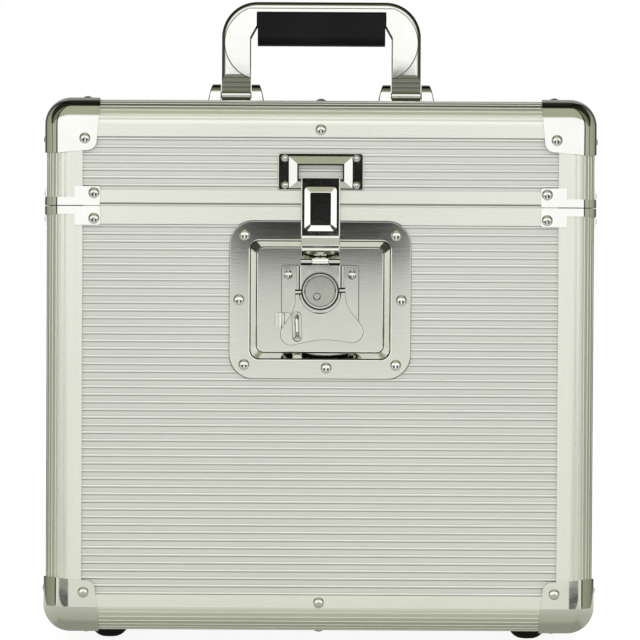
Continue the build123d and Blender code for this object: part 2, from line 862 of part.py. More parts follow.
def bridge_section(inset, back):
    """Level section through the bridge, narrower at its front, inset by a thickness for its inside. Local X is
    across, local Y to the back."""
    slope = (bridge_foot_width - bridge_width) / 2 / bridge_height
    side = inset * sqrt(1 + slope**2)
    front = bridge_level + inset
    half_front = bridge_width / 2 + slope * inset - side
    half_back = bridge_width / 2 + slope * (back - bridge_level) - side
    outline = [(-half_front, front), (half_front, front), (half_back, back), (-half_back, back)]
    face = Polygon(*outline, align=None)
    corners = face.vertices().sort_by(Axis.Y)[:2]
    return fillet(corners, 1.6 - inset)


def base_plate():
    """Plate on the dish's floor, with a raised bridge that guides the slider and carries the rotor."""
    height = bridge_rise + base_plate_drop
    sheet = latch_plane(floor_depth, (bridge_rise - base_plate_drop) / 2) * RectangleRounded(
        base_plate_width, height, 2.0
    )
    plate = extrude(sheet, base_plate_thickness)
    plate = fillet(plate.faces().sort_by(Axis.Y)[0].edges(), base_plate_thickness / 3)
    rise = bridge_rise + bridge_drop
    low = Plane(origin=(0, front_y, key_z - bridge_drop), x_dir=(1, 0, 0), z_dir=(0, 0, 1))
    hump = extrude(low * bridge_section(0, floor_depth), rise)
    closed = low.offset(base_plate_thickness)
    hollow = extrude(closed * bridge_section(base_plate_thickness, floor_depth + 0.5), rise)
    bored = rod((0, front_y, key_z), (0, 1, 0), rotor_shaft_radius + rotor_shaft_clearance, floor_depth - 0.5)
    return plate + hump - hollow - bored


def plate_rivet_seats():
    """Four rivets through the base plate's flanges into the dish's floor."""
    x = base_plate_width / 2 - plate_rivet_inset_x
    high = key_z + bridge_rise - plate_rivet_inset_z
    low = key_z - base_plate_drop + plate_rivet_inset_z * 0.75
    return [on_wall("front", px, pz, -plate_level) for px, pz in ((-x, high), (x, high), (x, low))]


def padlock_staple():
    """Wire staple behind the wing's slot, standing on the base plate."""
    x = wing_slot_x
    z = wing_slot_drop
    top = wing_axis_depth + wing_thickness / 2 + staple_gap + staple_wire_radius
    half = staple_span / 2
    bend = 2 * staple_wire_radius
    with BuildPart() as made:
        with BuildLine():
            points = [(-x, plate_level, -z - half), (-x, top, -z - half), (-x, top, -z + half),
                      (-x, plate_level, -z + half)]
            FilletPolyline(*points, radius=bend)
        with BuildSketch(Plane(origin=points[0], z_dir=(0, -1, 0))):
            Circle(staple_wire_radius)
        sweep()
    return key_turned(Pos(0, front_y, key_z) * made.part)


def wing_clip():
    """Bent spring strip on the base plate's left edge, which holds the folded wing's lobe."""
    top = wing_axis_depth + wing_thickness / 2 + staple_gap + spring_sheet / 2
    low = plate_level - spring_sheet / 2 - 0.02
    left = -base_plate_width / 2 - 3.6
    crest = left + (low - top) * 0.62
    profile = [(left + 8.6, low), (left + 5.2, low), (crest + 0.4, top), (crest - 0.9, top), (left, low + 0.8)]
    with BuildPart() as made:
        with BuildSketch(Plane.XY.offset(-spring_drop - spring_width / 2)):
            with BuildLine():
                line = FilletPolyline(*[(px, py) for px, py in profile], radius=0.8)
                offset(line, amount=spring_sheet / 2, side=Side.BOTH)
            make_face()
        extrude(amount=spring_width)
    return Pos(0, front_y, key_z) * made.part


# ---------------------------------------------------------------- turn key


def key_turned(shape):
    """Turns a key part from its upright drawing to where it comes to rest."""
    return Pos(0, 0, key_z) * Rot(0, -key_rest_turn, 0) * Pos(0, 0, -key_z) * shape


def rotor():
    """Rotor: a rimmed disc in front of the bridge, a shaft through it and a flange and eccentric pin behind it."""
    front = front_y + rotor_front
    centre = key_z
    disc = rod((0, front, centre), (0, 1, 0), rotor_rim_radius, rotor_rim_depth)
    disc = fillet(disc.edges().sort_by(Axis.Y)[0], 1.0)
    disc -= rod((0, front - 1, centre), (0, 1, 0), rotor_face_radius, 1 + rotor_face_recess)
    disc = fillet(disc.faces().sort_by(Axis.Y)[0].inner_wires()[0].edges(), 0.4)
    shaft_end = front_y + bridge_level + base_plate_thickness + 0.3
    shaft = rod((0, front + rotor_rim_depth, centre), (0, 1, 0), rotor_shaft_radius,
                shaft_end - front - rotor_rim_depth)
    pin_end = front_y + slider_back - 0.2
    pin = rod((0, shaft_end, centre - eccentric), (0, 1, 0), eccentric_pin_radius, pin_end - shaft_end)
    rivet_place = (rotor_rivet_x, front + rotor_face_recess, centre - rotor_rivet_drop)
    head = rod(rivet_place, (0, -1, 0), plate_rivet_head * 0.8, 0.9)
    rotor_solid = disc + shaft + pin + fillet(head.edges().sort_by(Axis.Y)[0], 0.7)
    axle = wing_pin_radius + hook_pin_clearance
    for way in (-1, 1):
        start = (way * (rotor_rim_radius - 2.4), front_y + wing_axis_depth, centre)
        rotor_solid -= rod(start, (way, 0, 0), axle, 4)
    return key_turned(rotor_solid)


def wing_outline():
    """Outline of the wing about the key axis: two ears, a waist, two round lobes and a hollow belly."""
    cut = rotor_rim_radius + wing_clearance
    lobe_angle = radians(-28)
    side = (wing_lobe_x + wing_lobe_radius * cos(lobe_angle), -wing_lobe_drop - wing_lobe_radius * sin(lobe_angle))
    bottom = (wing_lobe_x - 1.2, -wing_lobe_drop - sqrt(wing_lobe_radius**2 - 1.2**2))
    with BuildSketch() as made:
        with BuildLine():
            ear = (wing_waist, wing_ear_reach)
            waist = (wing_waist, -3.0)
            Line((0, wing_ear_reach), ear)
            Line(ear, waist)
            Spline(waist, side, tangents=[(0, -1), (0.47, -0.88)])
            lobe_mid = (wing_lobe_x + wing_lobe_radius * cos(radians(40)), -wing_lobe_drop
                        - wing_lobe_radius * sin(radians(40)))
            ThreePointArc(side, lobe_mid, bottom)
            Spline(bottom, (0, -wing_belly), tangents=[(-1, 0.18), (-1, 0)])
            Line((0, -wing_belly), (0, wing_ear_reach))
        make_face()
    half = made.sketch
    whole = half + mirror(half, about=Plane.YZ)
    whole -= Pos(0, -wing_cut_drop) * Circle(cut)
    whole -= Pos(0, cut / 2 + wing_ear_reach / 2) * Rectangle(2 * cut, cut + wing_ear_reach)
    slot = Pos(-wing_slot_x, -wing_slot_drop) * Rot(0, 0, 90) * SlotOverall(wing_slot_length, wing_slot_width)
    return whole - slot


def wing():
    """Folding wing of the key, hung on two pins at the rotor's sides."""
    back = wing_axis_depth + wing_thickness / 2
    plate = extrude(latch_plane(back) * wing_outline(), wing_thickness)
    plate = fillet(plate.faces().sort_by(Axis.Y)[0].edges(), wing_edge_radius)
    height = key_z
    for way in (-1, 1):
        ear = rod((way * (rotor_rim_radius + 0.35), front_y + wing_axis_depth, height), (way, 0, 0), wing_ear_radius,
                  wing_waist - rotor_rim_radius - 0.35)
        plate += ear
    for way in (-1, 1):
        start = (way * (rotor_rim_radius - 1), front_y + wing_axis_depth, height)
        plate -= rod(start, (way, 0, 0), wing_pin_radius + hook_pin_clearance, 8)
    return key_turned(plate)


def wing_pins():
    """Two short pins that join the wing's ears to the rotor."""
    start = rotor_rim_radius - 2.0
    return [
        key_turned(rod((way * start, front_y + wing_axis_depth, key_z), (way, 0, 0), wing_pin_radius,
                       wing_pin_length))
        for way in (-1, 1)
    ]


# ---------------------------------------------------------------- slider and hook

slider_front = bridge_level + base_plate_thickness + slider_gap + 0.4
slider_back = slider_front + slider_thickness
pivot_depth = slider_back - hook_barrel_radius
pivot = (0, front_y + pivot_depth, key_z + hook_pivot_rise)


def latch_slider():
    """Plate under the bridge, driven by the eccentric in its cross slot, with the hook's outer knuckles on top."""
    half = hook_width / 2
    y = (front_y + slider_front, front_y + slider_back)
    plate = slab((-half, half), y, (key_z - slider_foot, pivot[2]))
    slot_length = 2 * (eccentric + eccentric_pin_radius) + 1.0
    slot_width = 2 * (eccentric_pin_radius + slot_play)
    slot = latch_plane(slider_back + 1, -eccentric) * SlotOverall(slot_length, slot_width)
    plate -= extrude(slot, slider_thickness + 2)
    inner = hook_knuckle_width / 2 + hook_knuckle_gap
    relief = hook_barrel_radius + 0.35
    plate -= slab((-inner, inner), (y[0] - 5, y[1] + 5), (pivot[2] - relief, pivot[2] + relief))
    for way in (-1, 1):
        plate += rod((way * inner, pivot[1], pivot[2]), (way, 0, 0), hook_barrel_radius, half - inner)
    bore = hook_pin_radius + hook_pin_clearance
    return plate - rod((-half - 1, pivot[1], pivot[2]), (1, 0, 0), bore, hook_width + 2)


def hook_pin():
    """Pin of the hook's hinge."""
    return rod((-hook_width / 2, pivot[1], pivot[2]), (1, 0, 0), hook_pin_radius, hook_width)


catch_low = lid_bottom + lid_rim_height + 0.1
catch_middle = catch_low + catch_height / 2
window_high = catch_low + catch_height - catch_window_drop
window_low = window_high - catch_window_height
lip_radius_in = sqrt((pivot_depth + catch_rise) ** 2 + (window_low + catch_lip_gap - pivot[2]) ** 2)


def hook_strip():
    """Side view of the hook's strip from its knuckle to its lip: local X to the back, local Y up, about the pivot."""
    leg = (-hook_leg_depth - pivot_depth, hook_leg_rise - hook_pivot_rise)
    bend = (-hook_leg_depth - pivot_depth, hook_bend_rise - hook_pivot_rise)
    plate_x = -hook_plate_depth - pivot_depth
    plate = (plate_x, hook_plate_rise - hook_pivot_rise)
    tip = (plate_x, sqrt((lip_radius_in + hook_thickness) ** 2 - plate_x**2))
    start = (-hook_barrel_radius * 0.3, hook_barrel_radius * 0.55)
    with BuildSketch() as made:
        with BuildLine():
            line = FilletPolyline(start, leg, bend, plate, tip, radius=1.6)
            offset(line, amount=hook_thickness / 2, side=Side.BOTH)
        make_face()
    ring = Circle(lip_radius_in + hook_thickness) - Circle(lip_radius_in)
    depth = hook_plate_depth + hook_thickness / 2 - hook_lip_back
    reach = Pos(plate_x - hook_thickness / 2, 0) * Rectangle(depth, 200, align=(Align.MIN, Align.MIN))
    cap = Circle(lip_radius_in + hook_thickness)
    return (made.sketch & cap) + (ring & reach)


def hook():
    """Hook: a cranked strip with a raised pillow, a lip at the top and one knuckle below. The lip's underside is an
    arc about the knuckle, so that the hook swings clear of the catch."""
    seat = Plane(origin=(-hook_width / 2, pivot[1], pivot[2]), x_dir=(0, 1, 0), z_dir=(1, 0, 0))
    strip = extrude(seat * hook_strip(), hook_width)
    half = hook_width / 2
    outline = [e for f in strip.faces().filter_by(Axis.X) for e in f.edges()]
    front = min(e.center().Y for e in outline)
    strip = fillet([e for e in outline if e.center().Y < front + 0.01], hook_edge_radius)
    inner = hook_knuckle_width / 2
    clear = hook_barrel_radius + 0.35
    for way in (-1, 1):
        x = tuple(sorted((way * inner, way * (half + 1))))
        strip -= slab(x, (pivot[1] - clear, pivot[1] + clear), (pivot[2] - clear, pivot[2] + clear))
    strip += rod((-inner, pivot[1], pivot[2]), (1, 0, 0), hook_barrel_radius, hook_knuckle_width)
    face = hook_plate_depth + hook_thickness / 2
    rise = hook_plate_rise + pillow_bottom + pillow_height / 2
    foot_face = latch_plane(-face, rise) * RectangleRounded(pillow_width, pillow_height, 2.4)
    crest = pillow_width - 2 * pillow_slope, pillow_height - 2 * pillow_slope
    pillow = loft([foot_face, latch_plane(-face - pillow_rise, rise) * RectangleRounded(*crest, 1.2)])
    pillow = fillet(pillow.faces().sort_by(Axis.Y)[0].edges(), pillow_rise * 0.7)
    bore = hook_pin_radius + hook_pin_clearance
    return strip + pillow - rod((-half, pivot[1], pivot[2]), (1, 0, 0), bore, hook_width)


# ---------------------------------------------------------------- catch plate


def catch_plate():
    """Catch on the lid: a riveted plate with a raised frame round the window that takes the hook's lip."""
    height = catch_middle - key_z
    plate = extrude(
        latch_plane(catch_thickness, height) * RectangleRounded(catch_width, catch_height, catch_corner_radius),
        catch_thickness,
    )
    plate = fillet(plate.faces().sort_by(Axis.Y)[0].edges(), catch_edge_radius)
    outer = catch_pyramid(0)
    inner = catch_pyramid(catch_thickness)
    window_middle = (window_high + window_low) / 2 - key_z
    window = extrude(
        latch_plane(floor_depth, window_middle) * Rectangle(catch_window_width, catch_window_height),
        floor_depth + catch_rise + 1,
    )
    foot_size = (catch_frame_width - 2 * catch_thickness, catch_frame_height - 2 * catch_thickness)
    through = extrude(latch_plane(catch_thickness + 0.1, frame_middle()) * Rectangle(*foot_size), catch_thickness + 0.2)
    return plate - through + (outer - inner) - window


def frame_middle():
    return catch_middle - key_z - 0.4


def catch_pyramid(shrink):
    """Pyramid from the frame's foot to the crest round the window, shrunk for its inside."""
    crest_middle = (window_high + window_low) / 2 - key_z
    foot_face = latch_plane(shrink * 0.6, frame_middle()) * Rectangle(
        catch_frame_width - 2 * shrink, catch_frame_height - 2 * shrink
    )
    rim = 2 * (catch_rim - shrink)
    crest_face = latch_plane(-catch_rise + shrink, crest_middle) * Rectangle(
        catch_window_width + rim, catch_window_height + rim
    )
    return loft([foot_face, crest_face])


def catch_rivet_seats():
    """Four rivets at the catch plate's corners."""
    x = catch_width / 2 - catch_rivet_inset_x
    z = catch_height / 2 - catch_rivet_inset_z
    return [on_wall("front", sx * x, catch_middle + sz * z) for sx in (-1, 1) for sz in (-1, 1)]


# ---------------------------------------------------------------- handle

deck_z = top_z - skin_level
handle_z = deck_z + handle_pivot_height


def arch(inset, inner_spread):
    """Front view of the handle's channel about its pivot height: the outer edge inset by a thickness and the inner
    edge spread inwards."""
    outer = handle_arm_outer - inset
    top = handle_top - inset
    radius = handle_corner_radius - inset
    inner = handle_arm_inner - inner_spread
    shoulder = grip_half_length + grip_clearance - inner_spread
    with BuildSketch() as made:
        with BuildLine():
            Polyline((outer, top - radius), (outer, 0), (inner, 0), (inner, handle_shoulder_low),
                     (shoulder, handle_shoulder_high), (shoulder, handle_top - handle_band - inner_spread),
                     (0, handle_top - handle_band - inner_spread), (0, top), (outer - radius, top))
            RadiusArc((outer, top - radius), (outer - radius, top), -radius)
        make_face()
    half = made.sketch
    return half + mirror(half, about=Plane.YZ)


def handle_plane():
    return Plane(origin=(0, 0, handle_z), x_dir=(1, 0, 0), z_dir=(0, -1, 0))


def handle_bail():
    """Pressed handle: a channel bent round the grip, its cheeks raised in a round, its arms tapering to a barrel."""
    seat = handle_plane()
    frame = extrude(seat * arch(0, 0), handle_arm_half_depth, both=True)
    frame = fillet(outside_edges(frame, 0), handle_edge_radius)
    taper_from = handle_barrel_radius * 0.6
    with BuildPart() as side:
        with BuildSketch(Plane.YZ.offset(-case_width / 2)):
            with BuildLine():
                half = handle_arm_half_depth + 0.5
                low = handle_barrel_radius * 0.8
                Polyline((-half, handle_top + 5), (half, handle_top + 5), (half, handle_taper_top),
                         (low, taper_from), (low, 0), (-low, 0), (-low, taper_from), (-half, handle_taper_top),
                         (-half, handle_top + 5))
            make_face()
        extrude(amount=case_width)
    frame = frame & (Pos(0, 0, handle_z) * side.part)
    rounds = Pos(handle_cheek_x, handle_cheek_z) * Circle(handle_cheek_radius)
    rounds += mirror(rounds, about=Plane.YZ)
    rounds += Pos(0, handle_top - 10) * Rectangle(2 * handle_cheek_x, 20)
    rounds &= Pos(0, -handle_crown) * Rectangle(4 * handle_arm_outer, 2 * handle_top)
    cheeks = extrude(seat * (arch(1, 0) & rounds), handle_cheek_half_depth, both=True)
    for y in (Axis.Y, -Axis.Y):
        cheeks = fillet(cheeks.faces().sort_by(y)[0].edges(), handle_cheek_edge)
    bail = frame + cheeks
    hollow_shape = arch(handle_sheet, 12) & (Pos(0, handle_top / 2 + 18) * Rectangle(200, handle_top))
    hollow = extrude(seat * hollow_shape, handle_arm_half_depth - handle_sheet, both=True)
    bail -= fillet(outside_edges(hollow, handle_sheet), handle_edge_radius - handle_sheet)
    bore = handle_pin_radius + handle_pin_clearance
    for way in (-1, 1):
        start = (way * handle_arm_inner, 0, handle_z)
        length = handle_arm_outer - handle_arm_inner
        bail += rod(start, (way, 0, 0), handle_barrel_radius, length)
        bail -= rod(start, (way, 0, 0), bore, length)
    return bail


def outside_edges(shape, inset):
    """Front and back edges of the handle's frame that lie on its outer outline, or inset from it by a thickness."""
    wide = handle_arm_outer - inset - handle_corner_radius / 2
    high = handle_z + handle_top - inset - 0.1
    edges = [e for y in (Axis.Y, -Axis.Y) for e in shape.faces().sort_by(y)[0].edges()]
    return [e for e in edges if abs(e.center().X) > wide or e.center().Z > high]


def handle_grip():
    """Moulded grip under the handle's top band, with a tongue up inside the channel."""
    top = handle_top - handle_band - grip_clearance
    middle = handle_z + (grip_bottom + top) / 2
    body = Pos(0, 0, middle) * Box(2 * grip_half_length, 2 * grip_half_depth, top - grip_bottom)
    low = body.edges().filter_by(Axis.X).group_by(Axis.Z)[0]
    body = fillet(low, grip_corner)
    high = body.edges().filter_by(Axis.X).group_by(Axis.Z)[-1]
    body = fillet(high, 1.5)
    tongue_top = handle_z + handle_top - handle_sheet - grip_clearance
    half = handle_arm_half_depth - handle_sheet - grip_clearance
    reach = grip_half_length - 4
    tongue = slab((-reach, reach), (-half, half), (handle_z + top - 1, tongue_top))
    crest = tongue.edges().filter_by(Axis.X).group_by(Axis.Z)[-1]
    return body + fillet(crest, handle_edge_radius - handle_sheet)


def handle_bracket():
    """Cast bracket on the right: a base plate and two rounded ears."""
    inner = handle_arm_inner - ear_gap
    outer = handle_arm_outer + ear_gap
    low = inner - ear_thickness - bracket_margin
    high = outer + ear_thickness + bracket_margin
    plate_top = deck_z + bracket_plate
    plate = slab((low, high), (-bracket_half_depth, bracket_half_depth), (deck_z, plate_top))
    plate = fillet(plate.edges().filter_by(Axis.Z), 4.0)
    plate = fillet(plate.faces().sort_by(Axis.Z)[-1].edges(), 0.6)
    bracket = plate
    for x_low, far in ((inner - ear_thickness, Axis.X), (outer, Axis.X)):
        bracket += ear(x_low, x_low < inner)
    bore = handle_pin_radius + handle_pin_clearance
    start = (inner - ear_thickness + 1.5, 0, handle_z)
    return bracket - rod(start, (1, 0, 0), bore, outer - inner + 2 * ear_thickness - 3.0)


def ear(x_low, faces_left):
    """One ear of the bracket: round over the pivot, wider at its foot. Its outer face leans and curves inwards."""
    drop = handle_pivot_height - bracket_plate * 0.5
    base = ear_base_half_depth
    with BuildPart() as side:
        with BuildSketch(Plane.YZ.offset(x_low)):
            with BuildLine():
                ThreePointArc((-ear_radius, 0), (0, ear_radius), (ear_radius, 0))
                Polyline((ear_radius, 0), (base, -drop), (-base, -drop), (-ear_radius, 0))
            make_face()
        extrude(amount=ear_thickness)
    out, inn = (x_low, x_low + ear_thickness) if faces_left else (x_low + ear_thickness, x_low)
    lean = ear_lean if faces_left else -ear_lean
    with BuildPart() as front:
        with BuildSketch(Plane.XZ.offset(-2 * base)):
            with BuildLine():
                foot, tip = (out, -drop), (out + lean, ear_radius)
                ThreePointArc(foot, (out + lean * 0.28, (ear_radius - drop) / 2), tip)
                Polyline(tip, (inn, ear_radius), (inn, -drop), foot)
            make_face()
        extrude(amount=4 * base)
    shape = side.part & front.part
    rim = [e for e in shape.edges() if abs(e.center().X - inn) > 0.1 and e.center().Z > -drop + 0.1]
    return Pos(0, 0, handle_z) * fillet(rim, ear_edge_radius)


def handle_pin():
    """Pivot pin inside the right bracket."""
    start = handle_arm_inner - ear_gap - ear_thickness + 1.8
    length = handle_arm_outer - handle_arm_inner + 2 * ear_gap + 2 * ear_thickness - 3.6
    return rod((start, 0, handle_z), (1, 0, 0), handle_pin_radius, length)


def bracket_rivet_seats():
    """Four rivets for each bracket, outside its ears' line."""
    inner = handle_arm_inner - ear_gap - ear_thickness / 2
    outer = handle_arm_outer + ear_gap + ear_thickness / 2
    lift = bracket_plate - skin_level
    return [
        on_deck("top", sign * x, y, lift)
        for sign in (-1, 1) for x in (inner, outer) for y in (-bracket_rivet_y, bracket_rivet_y)
    ]


# ---------------------------------------------------------------- assembly

body_cap_seats = cap_rivet_seats("bottom")
body_clip_seats = clip_rivet_seats(body_top - clip_rivet_height)
body_trim_seats = trim_rivet_seats("bottom")
body_hinge_seats = hinge_rivet_seats(False)
dish_seats = dish_rivet_seats()
plate_seats = plate_rivet_seats()
lid_cap_seats = cap_rivet_seats("top")
lid_clip_seats = clip_rivet_seats(lid_bottom + clip_rivet_height)
lid_trim_seats = trim_rivet_seats("top")
lid_hinge_seats = hinge_rivet_seats(True)
catch_seats = catch_rivet_seats()
bracket_seats = bracket_rivet_seats()


def facing(seats, *ways):
    """The seats whose outward direction is one of the given axes."""
    directions = {"front": (0, -1, 0), "back": (0, 1, 0), "left": (-1, 0, 0), "right": (1, 0, 0),
                  "top": (0, 0, 1), "bottom": (0, 0, -1)}
    wanted = [directions[w] for w in ways]
    return [s for s in seats if any(all(abs(a - b) < 0.01 for a, b in zip(s[1], w)) for w in wanted)]


def near(shape, seats):
    """The seats whose shank can reach a shape."""
    box = shape.bounding_box()
    margin = rivet_length + 3
    return [
        s for s in seats
        if all(tuple(box.min)[i] - margin < s[0][i] < tuple(box.max)[i] + margin for i in range(3))
    ]


def drilled_where(shape, seats):
    """A shape drilled for the rivets that reach it."""
    return drilled(shape, near(shape, seats))


body_seats = body_cap_seats + body_clip_seats + body_trim_seats + body_hinge_seats
lid_seats = lid_cap_seats + lid_clip_seats + lid_trim_seats + lid_hinge_seats + bracket_seats


def build_body_walls():
    all_seats = body_seats + dish_seats
    window = dish_window()
    parts = {}
    for side in ("front", "back", "left", "right"):
        skin, core = wall_panel(side, body_panel_low, body_panel_high)
        if side == "front":
            skin -= window
            core -= window
        local = facing(all_seats, side)
        parts[side] = drilled(skin, local), drilled(core, local)
    save("body_front_skin", [parts["front"][0]])
    save("body_front_board", [parts["front"][1]])
    save("body_back_skin", [parts["back"][0]])
    save("body_back_board", [parts["back"][1]])
    save("body_side_skins", [parts["left"][0], parts["right"][0]])
    save("body_side_boards", [parts["left"][1], parts["right"][1]])
    skin, core = deck_panel("bottom", False)
    for hole in four_ways(foot_hole()):
        skin -= hole
        core -= hole
    local = facing(all_seats, "bottom")
    save("bottom_skin", [drilled(skin, local)])
    save("bottom_board", [drilled(core, local)])


def build_body_frame():
    low = floor_z + flange_width + end_clearance
    posts = four_ways(corner_post(low, body_top))
    save("body_corner_posts", [drilled_where(p, body_clip_seats + body_cap_seats) for p in posts])
    save("bottom_edge_trims", [drilled_where(t, body_seats) for t in bottom_trims()])
    rims = rim_lengths(body_rim_section(), body_top)
    rims[0] -= dish_relief()
    save("body_rim", [drilled_where(r, body_clip_seats) for r in rims])
    caps = four_ways(corner_cap())
    save("bottom_corner_caps", [drilled_where(c, body_cap_seats) for c in caps])
    clips = four_ways(rim_clip())
    save("body_rim_clips", [drilled_where(c, body_clip_seats) for c in clips])
    save("body_rivets", [rivet(s) for s in body_cap_seats + body_clip_seats + body_trim_seats])
    save("feet", four_ways(foot()))
    save("foot_screws", four_ways(foot_screw()))


def build_body_linings():
    low = floor_z + inner_level + end_clearance
    high = body_top - slot_clearance
    save("floor_lining", [deck_lining("bottom")])
    save("body_front_lining", [front_lining()])
    save("body_back_lining", [wall_lining("back", low, high)])
    save("body_side_linings", [wall_lining("left", low, high), wall_lining("right", low, high)])


def build_hinges():
    body_leaves = [drilled(h, near(h, body_hinge_seats)) for h in at_hinges(hinge_leaf(False))]
    lid_leaves = [drilled(h, near(h, lid_hinge_seats)) for h in at_hinges(hinge_leaf(True))]
    save("hinge_body_leaves", body_leaves)
    save("hinge_lid_leaves", lid_leaves)
    save("hinge_pins", at_hinges(hinge_pin()))
    save("hinge_body_rivets", [rivet(s) for s in body_hinge_seats])
    save("hinge_lid_rivets", [rivet(s) for s in lid_hinge_seats])


def build_latch():
    save("latch_dish", [drilled(latch_dish(), dish_seats + plate_seats)])
    save("dish_rivets", [rivet(s) for s in dish_seats])
    save("latch_base_plate", [drilled(base_plate(), plate_seats)])
    save("base_plate_rivets", [short_rivet(s) for s in plate_seats])
    save("padlock_staple", [padlock_staple()])
    save("wing_clip", [wing_clip()])
    save("turnkey_rotor", [rotor()])
    save("turnkey_wing", [wing()])
    save("wing_pins", wing_pins())
    save("latch_slider", [latch_slider()])
    save("hook_pin", [hook_pin()])
    save("latch_hook", [hook()])
    save("catch_plate", [drilled(catch_plate(), catch_seats)])
    save("catch_rivets", [rivet(s, small_head_radius) for s in catch_seats])


def short_rivet(seat):
    """Rivet of the base plate, cut off behind the dish's floor."""
    length = base_plate_thickness + dish_thickness
    behind = slab((-case_width, case_width), (front_y + plate_level + length, case_depth), (0, top_z))
    return rivet(seat, plate_rivet_head) - behind


def build_lid_walls():
    for side in ("front", "back"):
        skin, core = wall_panel(side, lid_panel_low, lid_panel_high)
        local = facing(lid_seats + catch_seats, side)
        save(f"lid_{side}_skin", [drilled(skin, local)])
        save(f"lid_{side}_board", [drilled(core, local)])
    pairs = [wall_panel(side, lid_panel_low, lid_panel_high) for side in ("left", "right")]
    seats = [facing(lid_seats, side) for side in ("left", "right")]
    save("lid_side_skins", [drilled(pair[0], s) for pair, s in zip(pairs, seats)])
    save("lid_side_boards", [drilled(pair[1], s) for pair, s in zip(pairs, seats)])
    skin, core = deck_panel("top", True)
    local = facing(lid_seats, "top")
    save("lid_top_skin", [drilled(skin, local)])
    save("lid_top_board", [drilled(core, local)])


def build_lid_frame():
    high = top_z - flange_width - end_clearance
    posts = four_ways(corner_post(lid_bottom, high))
    save("lid_corner_posts", [drilled_where(p, lid_clip_seats + lid_cap_seats) for p in posts])
    trims = [upside_down(t) for t in bottom_trims()]
    save("lid_top_trims", [drilled_where(t, lid_seats) for t in trims])
    save("lid_rim", [drilled_where(r, lid_clip_seats) for r in rim_lengths(lid_rim_section(), lid_bottom)])
    caps = [upside_down(c) for c in four_ways(corner_cap())]
    save("top_corner_caps", [drilled_where(c, lid_cap_seats) for c in caps])
    clips = [mirror(c, about=Plane.XY.offset(parting_z)) for c in four_ways(rim_clip())]
    save("lid_rim_clips", [drilled_where(c, lid_clip_seats) for c in clips])
    save("lid_rivets", [rivet(s) for s in lid_cap_seats + lid_clip_seats + lid_trim_seats])


def build_lid_lining():
    low = lid_bottom + slot_clearance
    high = top_z - inner_level - end_clearance
    sheets = [wall_lining(side, low, high) for side in ("front", "back", "left", "right")]
    save("lid_lining", [deck_lining("top"), *sheets])


def build_handle():
    save("handle_brackets", [drilled_where(b, bracket_seats) for b in both_ways(handle_bracket())])
    save("bracket_rivets", [rivet(s) for s in bracket_seats])
    save("handle_pins", both_ways(handle_pin()))
    save("handle_bail", [handle_bail()])
    save("handle_grip", [handle_grip()])


build_body_walls()
build_body_frame()
build_body_linings()
build_hinges()
build_latch()
build_lid_walls()
build_lid_frame()
build_lid_lining()
build_handle()
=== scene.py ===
import bpy, bmesh
from math import pi, radians
from mathutils import Matrix, Vector, noise

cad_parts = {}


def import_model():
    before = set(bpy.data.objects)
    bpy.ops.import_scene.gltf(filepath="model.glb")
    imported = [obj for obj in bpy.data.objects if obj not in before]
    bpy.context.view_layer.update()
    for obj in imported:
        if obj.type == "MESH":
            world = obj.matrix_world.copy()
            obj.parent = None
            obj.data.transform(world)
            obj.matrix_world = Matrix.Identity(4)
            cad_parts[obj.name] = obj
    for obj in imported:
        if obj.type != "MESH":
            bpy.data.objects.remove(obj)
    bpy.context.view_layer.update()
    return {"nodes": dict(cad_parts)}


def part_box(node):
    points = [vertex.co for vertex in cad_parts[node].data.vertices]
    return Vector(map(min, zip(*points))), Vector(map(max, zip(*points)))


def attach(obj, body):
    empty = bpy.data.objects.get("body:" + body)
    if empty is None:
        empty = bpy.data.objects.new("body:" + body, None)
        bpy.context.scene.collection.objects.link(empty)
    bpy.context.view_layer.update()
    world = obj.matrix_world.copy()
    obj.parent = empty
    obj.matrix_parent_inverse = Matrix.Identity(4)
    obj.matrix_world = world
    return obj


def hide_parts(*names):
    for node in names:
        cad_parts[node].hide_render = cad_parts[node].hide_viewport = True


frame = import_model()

nodes = frame["nodes"]


